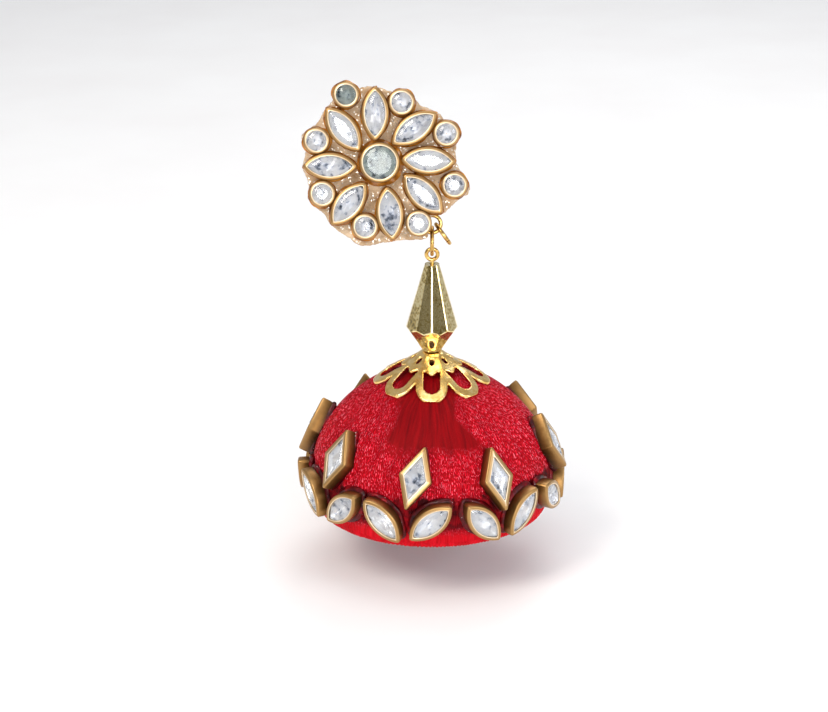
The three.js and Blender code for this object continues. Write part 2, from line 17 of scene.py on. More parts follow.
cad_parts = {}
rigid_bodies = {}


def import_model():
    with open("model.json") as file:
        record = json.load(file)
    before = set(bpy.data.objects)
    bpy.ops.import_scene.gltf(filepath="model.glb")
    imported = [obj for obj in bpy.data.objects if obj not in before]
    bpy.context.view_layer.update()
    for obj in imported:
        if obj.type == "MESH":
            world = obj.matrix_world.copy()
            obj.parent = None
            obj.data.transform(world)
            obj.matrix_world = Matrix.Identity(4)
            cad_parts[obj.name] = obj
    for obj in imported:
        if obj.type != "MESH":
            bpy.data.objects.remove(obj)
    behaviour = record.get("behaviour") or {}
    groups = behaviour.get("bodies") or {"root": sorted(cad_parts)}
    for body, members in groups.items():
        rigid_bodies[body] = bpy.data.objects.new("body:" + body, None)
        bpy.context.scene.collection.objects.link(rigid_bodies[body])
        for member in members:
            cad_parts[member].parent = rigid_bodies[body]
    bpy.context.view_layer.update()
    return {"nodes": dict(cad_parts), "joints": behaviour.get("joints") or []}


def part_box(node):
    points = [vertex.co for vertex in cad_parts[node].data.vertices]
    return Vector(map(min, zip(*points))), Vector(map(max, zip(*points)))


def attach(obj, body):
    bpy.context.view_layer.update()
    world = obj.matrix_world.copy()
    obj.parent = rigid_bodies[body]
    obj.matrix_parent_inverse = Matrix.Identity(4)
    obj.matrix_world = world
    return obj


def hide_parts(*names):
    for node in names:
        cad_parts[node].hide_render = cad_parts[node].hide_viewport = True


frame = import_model()
MM = 0.001

# %% [markdown]
# ## Floor, light and camera
# Jewellery is photographed on a pale seamless sheet under large soft lights, because polished
# gold shows whatever stands round it. A broad key light gives the long highlights, and weaker
# ones open the shadows. Two dark curtains behind the camera, left and right, give polished
# metal its dark facets.

# %% The drop's axis, foot and size
bell_low, bell_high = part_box("thread_bell")
axis = Vector(((bell_low.x + bell_high.x) / 2, (bell_low.y + bell_high.y) / 2, 0))
foot = bell_low.z
BELL_HEIGHT = 22.9 * MM
BELL_RADIUS = 18.4 * MM
print("axis of the drop, mm:", [round(v / MM, 2) for v in axis], "foot:", round(foot / MM, 2))


def linear(hex_colour):
    """A colour as the screen shows it, '#rrggbb', in the linear values that shaders use."""
    channels = [int(hex_colour[i : i + 2], 16) / 255 for i in (1, 3, 5)]
    return [c / 12.92 if c <= 0.04045 else ((c + 0.055) / 1.055) ** 2.4 for c in channels] + [1]


# %% Camera at the photograph's angle
WIDTH = 828
FOCAL_PIXELS = 2572.8
CAMERA_DISTANCE = 0.4
CAMERA_ELEVATION = math.radians(23.2)
AIM_RIGHT, AIM_DOWN = 19, 115  # pixels from the picture's middle to the aim point
AIM_HEIGHT = 0.223  # share of the bell's height that the aim point lies above its foot

aim = axis + Vector((0, 0, foot + AIM_HEIGHT * BELL_HEIGHT))
towards = Vector((0, -math.cos(CAMERA_ELEVATION), math.sin(CAMERA_ELEVATION)))
camera = bpy.data.objects.new("camera", bpy.data.cameras.new("camera"))
bpy.context.scene.collection.objects.link(camera)
camera.location = aim + CAMERA_DISTANCE * towards
camera.rotation_euler = (
    math.pi / 2 - CAMERA_ELEVATION + math.atan(AIM_DOWN / FOCAL_PIXELS),
    0,
    math.atan(AIM_RIGHT / FOCAL_PIXELS),
)
camera.data.sensor_width = 36
camera.data.lens = FOCAL_PIXELS * camera.data.sensor_width / WIDTH
camera.data.clip_start = 0.01
bpy.context.scene.camera = camera


# %% Lights, room and floor
LIGHTS = {
    # name: place and size in metres, power in watts, tint
    "key_light": ((-0.24, -0.30, 0.34), 0.20, 1.35, "#fff8f0"),
    "fill_light": ((0.36, -0.22, 0.12), 0.20, 0.6, "#f2f6ff"),
    "back_light": ((0.10, 0.30, 0.30), 0.24, 0.6, "#ffffff"),
    "top_light": ((0.02, -0.14, 0.46), 0.34, 0.45, "#ffffff"),
    "front_light": ((0.07, -0.55, 0.078), 0.2, 1.2, "#ffffff"),
}
ROOM_COLOUR, ROOM_STRENGTH = "#c9ccd2", 0.78
CURTAIN_RIGHT, CURTAIN_FORWARD, CURTAIN_UP = 0.56, -0.62, 0.03
CURTAIN_SIZE = (0.6, 0.26, 1)
FLOOR_SIZE = 6
FLOOR_BELOW = 9 * MM  # room for the bell's rim to swing


def softbox(name, place, size, power, tint):
    """A square light that looks at the earring's middle."""
    lamp = bpy.data.lights.new(name, "AREA")
    lamp.size, lamp.energy, lamp.color = size, power, linear(tint)[:3]
    box = bpy.data.objects.new(name, lamp)
    bpy.context.scene.collection.objects.link(box)
    box.location = Vector(place)
    middle = Vector((axis.x, axis.y, foot / 2))
    box.rotation_euler = (middle - box.location).to_track_quat("-Z", "Y").to_euler()


for name, settings in LIGHTS.items():
    softbox(name, *settings)

room = bpy.data.worlds.new("room")
room.use_nodes = True
room.node_tree.nodes["Background"].inputs["Color"].default_value = linear(ROOM_COLOUR)
room.node_tree.nodes["Background"].inputs["Strength"].default_value = ROOM_STRENGTH
bpy.context.scene.world = room
bpy.context.scene.view_settings.view_transform = "Standard"

curtains = []
for name, side in (("left_curtain", -1), ("right_curtain", 1)):
    bpy.ops.mesh.primitive_plane_add(
        size=1,
        location=(side * CURTAIN_RIGHT, CURTAIN_FORWARD, CURTAIN_UP),
        rotation=(math.pi / 2, 0, 0),
    )
    curtains.append(bpy.context.object)
    curtains[-1].name = name
    curtains[-1].scale = CURTAIN_SIZE

bpy.ops.mesh.primitive_plane_add(size=FLOOR_SIZE, location=(0, 0, foot - FLOOR_BELOW))
floor = bpy.context.object
floor.name = "floor"

# %% [markdown]
# ## Helpers
# Each piece is modelled as by hand. A primitive is added, shaped in edit mode, and its place is
# then written into its mesh. Small functions keep that short. They select an object, or the
# faces, edges or corners that pass a test, apply a modifier, copy a piece and settle it.


# %% Selecting and settling
def only(thing):
    """Selects one object and makes it the active one."""
    bpy.ops.object.select_all(action="DESELECT")
    thing.select_set(True)
    bpy.context.view_layer.objects.active = thing
    return thing


def pick(kind, test):
    """In edit mode, selects the parts of one kind (VERT, EDGE or FACE) that pass the test."""
    bpy.ops.mesh.select_mode(type=kind)
    bpy.ops.mesh.select_all(action="DESELECT")
    shape = bmesh.from_edit_mesh(bpy.context.object.data)
    parts = {"VERT": shape.verts, "EDGE": shape.edges, "FACE": shape.faces}[kind]
    for part in parts:
        part.select_set(bool(test(part)))
    shape.select_flush_mode()
    bmesh.update_edit_mesh(bpy.context.object.data)


def middle(part):
    """Middle of a face or an edge."""
    if isinstance(part, bmesh.types.BMFace):
        return part.calc_center_median()
    return (part.verts[0].co + part.verts[1].co) / 2


def extrude(x, y, z):
    """Extrudes what is selected along a vector in metres."""
    bpy.ops.mesh.extrude_region_move(TRANSFORM_OT_translate={"value": (x, y, z)})


def everything():
    """Selects the whole mesh in edit mode."""
    bpy.ops.mesh.select_all(action="SELECT")


def open_edit(thing):
    """Opens a piece in edit mode with its whole mesh selected."""
    only(thing)
    bpy.ops.object.mode_set(mode="EDIT")
    everything()


def close_edit():
    """Turns all faces outward and goes back to object mode."""
    everything()
    bpy.ops.mesh.normals_make_consistent(inside=False)
    bpy.ops.object.mode_set(mode="OBJECT")


def settle(thing, name, smooth=30):
    """Names a piece, writes its place into its mesh and smooths what is gentler than an angle."""
    only(thing)
    bpy.ops.object.transform_apply(location=True, rotation=True, scale=True)
    bpy.ops.object.shade_smooth_by_angle(angle=math.radians(smooth))
    thing.name = thing.data.name = name
    return thing


def finish_modifier(thing, kind, **settings):
    """Adds a modifier with its settings and applies it."""
    only(thing)
    made = thing.modifiers.new(kind.lower(), kind)
    for key, value in settings.items():
        setattr(made, key, value)
    bpy.ops.object.modifier_apply(modifier=made.name)


def bevel_edges(thing, test, width, segments):
    """Bevels the edges that pass a test."""
    open_edit(thing)
    pick("EDGE", test)
    bpy.ops.mesh.bevel(offset=width, segments=segments, affect="EDGES")
    bpy.ops.object.mode_set(mode="OBJECT")


def cylinder(sides, radius, depth, place=(0, 0, 0)):
    """Adds a closed cylinder along Z."""
    bpy.ops.mesh.primitive_cylinder_add(
        vertices=sides, radius=radius, depth=depth, location=place, end_fill_type="NGON"
    )
    return bpy.context.object


def copy_of(thing, name, place=None):
    """A copy with its own mesh, put at its place in that mesh."""
    made = bpy.data.objects.new(name, thing.data.copy())
    made.data.name = name
    bpy.context.scene.collection.objects.link(made)
    if place is not None:
        made.data.transform(place)
    return made


# %% [markdown]
# ## Materials
# Every finish is a small tree of nodes. One function makes a node, sets it and links it. The
# patterns are sized in millimetres on Object coordinates, which are metres.


# %% Nodes
def finish(name):
    """A new material with its Principled shader."""
    look = bpy.data.materials.new(name)
    look.use_nodes = True
    return look


def node(look, kind, inputs=None, **settings):
    """Adds a node to a material, with its settings, and its inputs as values or links."""
    made = look.node_tree.nodes.new("ShaderNode" + kind)
    for key, value in settings.items():
        setattr(made, key, value)
    for key, value in (inputs or {}).items():
        if isinstance(value, bpy.types.NodeSocket):
            look.node_tree.links.new(value, made.inputs[key])
        else:
            made.inputs[key].default_value = value
    return made


def shade(look, **inputs):
    """Sets and links the inputs of a material's Principled shader."""
    shader = look.node_tree.nodes["Principled BSDF"]
    for key, value in inputs.items():
        socket = shader.inputs[key.replace("_", " ")]
        if isinstance(value, bpy.types.NodeSocket):
            look.node_tree.links.new(value, socket)
        else:
            socket.default_value = value


def per_mm(size):
    """Scale of a pattern on Object coordinates whose features are size millimetres apart."""
    return 1 / (size * MM)


def ramp(look, value, *stops):
    """A colour ramp over a value, from pairs of place and hex colour."""
    made = node(look, "ValToRGB", {"Fac": value})
    bar = made.color_ramp
    while len(bar.elements) < len(stops):
        bar.elements.new(0.5)
    for element, (place, colour) in zip(bar.elements, stops):
        element.position, element.color = place, linear(colour)
    return made.outputs["Color"]


def grey(look, value, low, high):
    """Maps a value between 0 and 1 to a range."""
    made = node(look, "MapRange", {"Value": value, "To Min": low, "To Max": high})
    return made.outputs["Result"]


def between(look, value, low, high):
    """0 where a value is low, 1 where it is high, even between."""
    made = node(look, "MapRange", {"Value": value, "From Min": low, "From Max": high})
    return made.outputs["Result"]


def mix(look, share, first, second):
    """Blends two colours by a share."""
    return node(look, "Mix", {0: share, 6: first, 7: second}, data_type="RGBA").outputs[2]


def maths(look, operation, *values):
    """One Math node over values or links."""
    return node(look, "Math", dict(enumerate(values)), operation=operation).outputs[0]


def times(look, first, second):
    return maths(look, "MULTIPLY", first, second)


def plus(look, first, second):
    return maths(look, "ADD", first, second)


def where(look):
    """Object coordinates, in metres."""
    return node(look, "TexCoord").outputs["Object"]


def noise_at(look, size, detail=3.0, rough=0.55, at=None):
    """Cloudy noise with features of a size in millimetres."""
    settings = {"Vector": at or where(look), "Scale": per_mm(size), "Detail": detail}
    settings["Roughness"] = rough
    return node(look, "TexNoise", settings).outputs["Fac"]


def flecks(look, size, rarity):
    """Distance in cells of a size in millimetres, and 1 in the few whose luck is over rarity."""
    cells = node(look, "TexVoronoi", {"Vector": where(look), "Scale": per_mm(size)}).outputs
    luck = node(look, "SeparateColor", {"Color": cells["Color"]}).outputs[0]
    return cells["Distance"], maths(look, "GREATER_THAN", luck, rarity)


def bump(look, height, depth_mm, strength):
    """A normal that shows a height between 0 and 1 as relief of a depth in millimetres."""
    settings = {"Height": height, "Distance": depth_mm * MM, "Strength": strength}
    return node(look, "Bump", settings).outputs["Normal"]


# %% [markdown]
# ## Paper floor
# Matt white paper. It takes a soft shadow and gives the metal something pale to reflect from
# below. A very faint mottle keeps it from looking computed.

# %% Paper
paper = finish("matt_white_paper")
mottle = noise_at(paper, 35)
shade(paper, Base_Color=ramp(paper, mottle, (0.3, "#f9f7f5"), (0.7, "#fdfcfa")), Roughness=0.85)
floor.data.materials.append(paper)

charcoal_cloth = finish("charcoal_cloth")
weave = noise_at(charcoal_cloth, 12)
charcoal = ramp(charcoal_cloth, weave, (0.3, "#45422f"), (0.7, "#55513c"))
shade(charcoal_cloth, Base_Color=charcoal, Roughness=0.95)
for curtain in curtains:
    curtain.data.materials.append(charcoal_cloth)

# %% [markdown]
# ## Antique gold of the cups
# The cups are stamped brass with a matt antique-gold plating. Their colour is painted darker
# towards each cup's back: a brown patina in the dip between cups together with painted shade. A
# value stored on the mesh, "rise", runs from the cup's back to its lip, so the patina and the
# painted shade follow the shape from any side. A second one, "lip", marks the thin rubbed edge
# round the stone, painted near-white as a highlight.

# %% Antique gold
antique_gold = finish("antique_gold_plating")
rise = node(antique_gold, "Attribute", attribute_name="rise").outputs["Fac"]
worn = noise_at(antique_gold, 1.1, 4)
grain = noise_at(antique_gold, 0.12, 2)
height = plus(antique_gold, rise, grey(antique_gold, worn, -0.16, 0.16))
# Painted shade with patina: the colour darkens towards the cup's back, by height.
patina_and_painted_shade = ramp(antique_gold, height, (0.1, "#4a2f14"), (0.5, "#845e2f"), (0.95, "#a8824f"))
# The lip value paints a near-white line round the stone: a painted highlight on the rubbed edge.
lip = node(antique_gold, "Attribute", attribute_name="lip").outputs["Fac"]
shade(
    antique_gold,
    Base_Color=mix(antique_gold, lip, patina_and_painted_shade, linear("#ffe9c6")),
    Metallic=0.8,
    Roughness=grey(antique_gold, worn, 0.26, 0.42),
    Normal=bump(antique_gold, grain, 0.02, 0.35),
)

# %% [markdown]
# ## Cut glass over silver foil
# The stones are clear pressed glass, flat on top with slanted facets, and silver foil is glued
# to their pointed backs. Light goes in through the front, meets the foil's own facets and comes
# out broken into white and grey patches. The front faces are real glass here and the back faces
# a half-bright mirror, so the broken pattern comes by itself. Dark patches are places where the
# foil has lifted.

# %% Glass and foil
def glass(name, tint, rough):
    """Solid glass of a tint."""
    look = finish(name)
    shade(look, Base_Color=linear(tint), Roughness=rough, IOR=1.52, Transmission_Weight=1.0)
    return look


cut_glass = glass("pressed_clear_glass", "#fbfdff", 0.02)
smoky_glass = glass("pressed_smoky_glass", "#a3afa8", 0.03)

silver_foil = finish("silver_foil_backing")
lifted = noise_at(silver_foil, 0.9, 2, 0.5)
cloud = noise_at(silver_foil, 3.2, 2)
wrinkle = noise_at(silver_foil, 0.8, 2)
patches = plus(silver_foil, lifted, grey(silver_foil, cloud, -0.24, 0.24))
FOIL = (0.26, "#474c55"), (0.35, "#a3acbb"), (0.45, "#f6f7fb"), (0.62, "#ffffff")
shade(
    silver_foil,
    Base_Color=ramp(silver_foil, patches, *FOIL),
    Metallic=0.5,
    Roughness=0.2,
    Normal=bump(silver_foil, wrinkle, 0.16, 0.6),
)

# %% [markdown]
# ## Cups and stones
# A setting is a cup with a stone pressed into it. All settings of one kind came from one die,
# so each is modelled once: an outline, raised to a wall that swells a little, a rounded lip
# and a sunk middle. The stone starts from the same outline, drawn in by the lip's width.

# %% Outlines
SETTINGS = {
    # kind: form, length, width and height in millimetres, as the solids have them, and the
    # width of the metal round the stone
    "centre": ("round", 6.0, 6.0, 2.0, 0.5),
    "small": ("round", 3.94, 3.94, 1.94, 0.46),
    "petal": ("marquise", 8.0, 4.0, 2.0, 0.5),
    "rim": ("marquise", 8.2, 4.1, 2.0, 0.58),
    "rhombus": ("rhombus", 10.0, 5.0, 2.0, 0.72),
}
# All of these are in millimetres.
LIP_OVER_STONE = 0.22  # from the stone's edge up to the cup's height
CROWN = 0.75  # width of the slopes from the stone's edge to its table
ROLL = 0.26  # radius of a cup's outer edge
RIM_EDGE = 0.03  # height of the pressed edge above the rim
FLOOR_OF_CUP = 0.3
TIPS = {"round": 0, "rhombus": 0.3, "marquise": 0.2}  # what is cut off at each end
TIP_ROUND, SIDE_ROUND = 0.1, 0.2  # roundings of the corners
NEAR = 0.01  # how near a part has to lie to be picked


def arc_of(length, width):
    """Radius of a marquise's two arcs, and how far their centres lie off its middle."""
    radius = (length**2 + width**2) / (4 * width)
    return radius, radius - width / 2


def drawn_in(form, length, width, inset):
    """Length and width of an outline whose sides all move in by an inset."""
    if form == "round":
        return length - 2 * inset, width - 2 * inset
    if form == "rhombus":
        share = 1 - inset * math.hypot(length, width) / (length * width / 2)
        return length * share, width * share
    arc, off = arc_of(length, width)
    return 2 * math.sqrt((arc - inset) ** 2 - off**2), width - 2 * inset


def inset_at(form, length, width, x, y):
    """How far a point lies inside an outline, in the outline's units."""
    x, y = abs(x), abs(y)
    if form == "round":
        return length / 2 - math.hypot(x, y)
    if form == "rhombus":
        to_side = length * width / 2 / math.hypot(length, width)
        return to_side * (1 - 2 * x / width - 2 * y / length)
    arc, off = arc_of(length, width)
    return arc - math.hypot(x + off, y)


def filled_outline(form, length, width, sides):
    """A flat filled outline with its long axis on Y, left in edit mode."""
    length, width = length * MM, width * MM
    radius, off = arc_of(length, width) if form == "marquise" else (length / 2, 0)
    bpy.ops.mesh.primitive_circle_add(
        vertices=sides, radius=radius, fill_type="NGON", location=(-off, 0, 0)
    )
    bpy.ops.object.mode_set(mode="EDIT")
    if form == "rhombus":
        bpy.ops.transform.resize(value=(width / length, 1, 1), center_override=(0, 0, 0))
    elif form == "marquise":
        # One arc of the large circle, then the same arc turned half round.
        everything()
        bpy.ops.mesh.bisect(plane_co=(0, 0, 0), plane_no=(1, 0, 0), clear_inner=True)
        everything()
        bpy.ops.mesh.duplicate()
        bpy.ops.transform.rotate(value=math.pi, orient_axis="Z", center_override=(0, 0, 0))
        everything()
        bpy.ops.mesh.remove_doubles(threshold=0.002 * MM)
        bpy.ops.mesh.dissolve_limited(angle_limit=0.001, delimit=set())
    tip = TIPS[form] * MM
    for end in (1, -1) if tip else ():
        everything()
        flat = end * (length / 2 - tip)
        bpy.ops.mesh.bisect(plane_co=(0, flat, 0), plane_no=(0, end, 0), clear_outer=True)
    if tip:
        pick("VERT", lambda v: abs(v.co.y) > length / 2 - tip - NEAR * MM)
        bpy.ops.mesh.bevel(offset=TIP_ROUND * MM, segments=3, affect="VERTICES")
        everything()
    return bpy.context.object


def lift(z, size=None):
    """Extrudes the selected face by a height in millimetres, and resizes what it moved."""
    extrude(0, 0, z * MM)
    if size is not None:
        bpy.ops.transform.resize(value=(*size, 1), center_override=(0, 0, 0))


# %% One cup of each kind
random.seed(11)
cups, stones = {}, {}


def make_cup(kind):
    """A stamped cup: a wall, a rolled edge, a flat rim, a thin pressed edge and a sunk floor."""
    form, length, width, height, lip = SETTINGS[kind]
    cup = filled_outline(form, length, width, {"round": 48, "rhombus": 4, "marquise": 64}[form])
    if form == "rhombus":
        pick("VERT", lambda v: abs(v.co.x) > 0.49 * width * MM)
        bpy.ops.mesh.bevel(offset=SIDE_ROUND * MM, segments=3, affect="VERTICES")
    pick("FACE", lambda f: True)
    swell = 1 if form == "round" else 1 + 0.1 / width
    lift(height * 0.45, (swell, swell))
    lift(height * 0.55 - ROLL)
    # How far in and how high: the rolled edge, the flat rim, then the edge round the stone.
    steps = [(ROLL * (1 - math.cos(a)), ROLL * math.sin(a)) for a in (0.5, 1.0, math.pi / 2)]
    steps += [(lip - 0.16, ROLL), (lip - 0.12, ROLL + RIM_EDGE), (lip - 0.05, ROLL + RIM_EDGE)]
    steps += [(lip, ROLL), (lip + 0.02, ROLL - LIP_OVER_STONE - 0.1)]
    before = (length, width), 0
    for inset, z in steps:
        now = drawn_in(form, length, width, inset)
        lift(z - before[1], (now[1] / before[0][1], now[0] / before[0][0]))
        before = now, z
    lift(FLOOR_OF_CUP - height + LIP_OVER_STONE + 0.1, (0.9, 0.9))
    close_edit()
    settle(cup, "cup_" + kind, 40)
    # Height share, which paints the colour darker towards the back as shade with patina.
    level = cup.data.attributes.new("rise", "FLOAT", "POINT")
    level.data.foreach_set("value", [v.co.z / (height * MM) for v in cup.data.vertices])
    # Marks where a near-white line is painted round the stone, as a highlight on the rubbed edge.
    rub = cup.data.attributes.new("lip", "FLOAT", "POINT")
    for i, v in enumerate(cup.data.vertices):
        from_edge = abs(inset_at(form, length, width, v.co.x / MM, v.co.y / MM) - lip + 0.08)
        rub.data[i].value = max(0, 1 - from_edge / 0.15) * (v.co.z > 0.9 * height * MM)
    cup.data.materials.append(antique_gold)
    return cup


def make_stone(kind):
    """Glass with a table and two rows of facets above, and a foiled, pointed back below."""
    form, length, width, height, lip = SETTINGS[kind]
    edge = height - LIP_OVER_STONE
    length, width = drawn_in(form, length, width, lip - 0.06)
    stone = filled_outline(form, length, width, {"round": 16, "rhombus": 4, "marquise": 22}[form])
    bpy.ops.transform.translate(value=(0, 0, edge * MM))
    pick("FACE", lambda f: True)
    # Crown, in two slopes, then the table.
    table = drawn_in(form, length, width, CROWN)
    half = drawn_in(form, length, width, CROWN * 0.45)
    lift(0.2, (half[1] / width, half[0] / length))
    lift(0.14, (table[1] / half[1], table[0] / half[0]))
    # Pavilion, in two slopes down to a small flat.
    pick("FACE", lambda f: abs(middle(f).z - edge * MM) < NEAR * MM)
    deep = drawn_in(form, length, width, width * 0.27)
    lift(-0.55, (deep[1] / width, deep[0] / length))
    point = drawn_in(form, length, width, width * 0.488)
    lift(-0.75, (point[1] / deep[1], point[0] / deep[0]))
    close_edit()
    settle(stone, "stone_" + kind, 4)
    stone.data.materials.append(cut_glass)
    stone.data.materials.append(silver_foil)
    for face in stone.data.polygons:
        face.material_index = 1 if face.center.z < (edge - 0.02) * MM else 0
    return stone


for kind in SETTINGS:
    cups[kind], stones[kind] = make_cup(kind), make_stone(kind)
    faces = len(cups[kind].data.polygons), len(stones[kind].data.polygons)
    print(kind, "faces of cup and stone:", faces)

# %% [markdown]
# ## Setting the stones
# Each setting's seat is read from its solid: the largest flat side is its back, and the back's
# long axis gives its turn. A cup and a stone are copied there. A jeweller's hand is never quite
# even, so each stone sits a little turned and tilted in its cup.


# %% Seats
def seat_of(node_name):
    """Place of a setting: X across, Y along its long axis, Z out, origin in its back's middle."""
    mesh = frame["nodes"][node_name].data
    sides = {}
    for face in mesh.polygons:
        key = tuple(round(v, 2) for v in face.normal)
        sides.setdefault(key, []).append(face)
    back = max(sides.values(), key=lambda faces: sum(f.area for f in faces))
    out = -sum((f.normal * f.area for f in back), Vector()).normalized()
    corners = {tuple(round(c, 7) for c in mesh.vertices[i].co) for f in back for i in f.vertices}
    corners = [Vector(c) for c in corners]
    centre = sum(corners, Vector()) / len(corners)
    across = out.orthogonal().normalized()
    along = out.cross(across)
    flat = [((c - centre).dot(across), (c - centre).dot(along)) for c in corners]
    spread = sum(x * x for x, y in flat), sum(y * y for x, y in flat), sum(x * y for x, y in flat)
    turn = 0.5 * math.atan2(2 * spread[2], spread[0] - spread[1])
    long_axis = (across * math.cos(turn) + along * math.sin(turn)).normalized()
    if long_axis.z < 0:
        long_axis.negate()
    side = long_axis.cross(out)
    place = Matrix((side, long_axis, out)).transposed().to_4x4()
    place.translation = centre
    return place


SMOKY = ("centre_stone", "small_stone_3")
MOST_TILT, MOST_TURN = 2, 1.5  # degrees


def set_stone(node_name, kind, body):
    """Puts a cup and a stone on a solid's seat, and returns the seat."""
    place = seat_of(node_name)
    tilt = Matrix.Rotation(math.radians(random.uniform(-MOST_TILT, MOST_TILT)), 4, "X")
    turn = Matrix.Rotation(math.radians(random.uniform(-MOST_TURN, MOST_TURN)), 4, "Z")
    if SETTINGS[kind][0] == "round":
        turn = Matrix.Rotation(random.uniform(0, math.tau), 4, "Z")
    cup = copy_of(cups[kind], "cup_of_" + node_name, place)
    stone = copy_of(stones[kind], "glass_of_" + node_name, place @ tilt @ turn)
    if node_name in SMOKY:
        stone.data.materials[0] = smoky_glass
    for made in (cup, stone):
        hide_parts(node_name)
        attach(made, body)
    return place


seats = {}
for name in sorted(frame["nodes"]):
    for key, kind, body in (
        ("centre_stone", "centre", "stud"),
        ("petal_stone", "petal", "stud"),
        ("small_stone", "small", "stud"),
        ("rhombus_stone", "rhombus", "drop"),
        ("rim_stone", "rim", "drop"),
    ):
        if name.startswith(key):
            seats[name] = set_stone(name, kind, body)
for made in [*cups.values(), *stones.values()]:
    bpy.data.objects.remove(made)
print("settings placed:", len(seats))

# %% [markdown]
# ## Silk thread
# The bell is a bangle-like base wound side by side with glossy twisted thread, over the top,
# down the outside, round the rim and back up the inside. The ridges are real here: the wound
# profile is spun round the axis in four columns to a ridge, the columns wander as a hand-laid
# thread does, and each ridge swells out of its groove. The ply twist is finer than the mesh, so
# it is a pattern that follows a UV map of ridge number and length, two threads to a ridge. Its
# crests are painted pink as highlights and its hollows dark red as shade, and under the cap's
# front petal a fan is painted darker red as shade, where the thread sends back no highlight.

# %% Twisted silk
THREADS_ON_A_RIDGE = 2
TWIST_MM = 1.15  # length in which a thread's plies pass each other
# By how many twists each thread starts apart, its neighbour lags, and the lay sways and frays.
APART, LAG, SWAY, FRAY = 7.0, 0.5, 3.0, 3.5
# Under the cap's front petal the thread lies smooth in a fan, painted darker as shade where it
# sends back no highlight. Its sides are in millimetres from the middle at its top, with what they
# gain lower down, and its heights are shares.
FAN_RIGHT, FAN_RIGHT_GAIN, FAN_LEFT, FAN_LEFT_GAIN = 3.8, 6.0, 6.4, 3.0
FAN_TOP, FAN_WIDEST = 0.80, 0.58
FAN_HEM = (0.59, 0.66)
FOOT_HEM = (0.14, 0.09)
GLUE_FROM, GLUE_TO = (0.10, 0.15), (0.37, 0.33)  # where glue has soaked in and darkens it

silk = finish("twisted_red_silk")
lay = node(silk, "UVMap", uv_map="winding").outputs["UV"]
split = node(silk, "SeparateXYZ", {"Vector": lay}).outputs
strand, along = split["X"], split["Y"]


def winding_noise(vector, scale, detail):
    """Noise on the winding's own coordinates."""
    settings = {"Vector": vector, "Scale": scale, "Detail": detail}
    return node(silk, "TexNoise", settings).outputs["Fac"]


def stretched(across_ridges, along_them):
    """The winding's coordinates, scaled across and along the ridges."""
    sides = {"X": times(silk, strand, across_ridges), "Y": times(silk, along, along_them)}
    return node(silk, "CombineXYZ", sides).outputs[0]


fine = times(silk, strand, THREADS_ON_A_RIDGE)
luck = node(silk, "TexWhiteNoise", {"W": maths(silk, "FLOOR", fine)}, noise_dimensions="1D")
sway = winding_noise(lay, 0.35, 2.0)
fray = winding_noise(stretched(1.1, 0.8), 1.0, 2.0)
across = maths(silk, "PINGPONG", fine, 0.5)
run = maths(silk, "DIVIDE", along, TWIST_MM)
for value, twists in (
    (luck.outputs["Value"], APART),
    (maths(silk, "FRACT", fine), LAG),
    (sway, SWAY),
    (fray, FRAY),
):
    run = plus(silk, run, times(silk, value, twists))
plies = maths(silk, "POWER", times(silk, maths(silk, "PINGPONG", run, 0.5), 2.0), 1.3)
ridge = times(silk, maths(silk, "POWER", across, 0.6), 1.5)
hump = times(silk, times(silk, plies, ridge), plus(silk, fray, 0.5))

place = node(silk, "SeparateXYZ", {"Vector": where(silk)}).outputs
ragged = noise_at(silk, 1.6, 3)
wavy = times(silk, maths(silk, "SUBTRACT", ragged, 0.5), 3.0 * MM)


def rises(height, shares):
    """0 to 1 between two heights, given as shares of the bell's height."""
    low, high = (foot + share * BELL_HEIGHT for share in shares)
    return between(silk, height, low, high)


def from_middle(down, start, gain):
    return plus(silk, times(silk, down, gain * MM), start * MM)


down = rises(place["Z"], (FAN_TOP, FAN_WIDEST))
side = maths(silk, "SUBTRACT", place["X"], axis.x)
right = maths(silk, "SUBTRACT", from_middle(down, FAN_RIGHT, FAN_RIGHT_GAIN), side)
left = plus(silk, plus(silk, from_middle(down, FAN_LEFT, FAN_LEFT_GAIN), side), wavy)
ragged_height = plus(silk, place["Z"], wavy)
fan = times(silk, between(silk, right, 0, 0.5 * MM), between(silk, left, 0, 2 * MM))
fan = times(silk, fan, rises(ragged_height, FAN_HEM))
fan = times(silk, fan, maths(silk, "LESS_THAN", place["Y"], axis.y))
hem = rises(plus(silk, place["Z"], times(silk, wavy, 0.4)), FOOT_HEM)
soaked = times(silk, rises(ragged_height, GLUE_FROM), rises(ragged_height, GLUE_TO))
streaks = winding_noise(stretched(0.7, 0.12), 1.0, 3.0)

# The ply crests' pinks are painted highlights, and the darkest red in the hollows is painted
# shade.
PAINTED_PLY_HIGHLIGHT_AND_SHADE = (0.08, "#93030f"), (0.36, "#d40c20"), (0.62, "#f22a44"), (0.92, "#ff8c9c")
ply_painted_highlight_and_shade = ramp(silk, hump, *PAINTED_PLY_HIGHLIGHT_AND_SHADE)
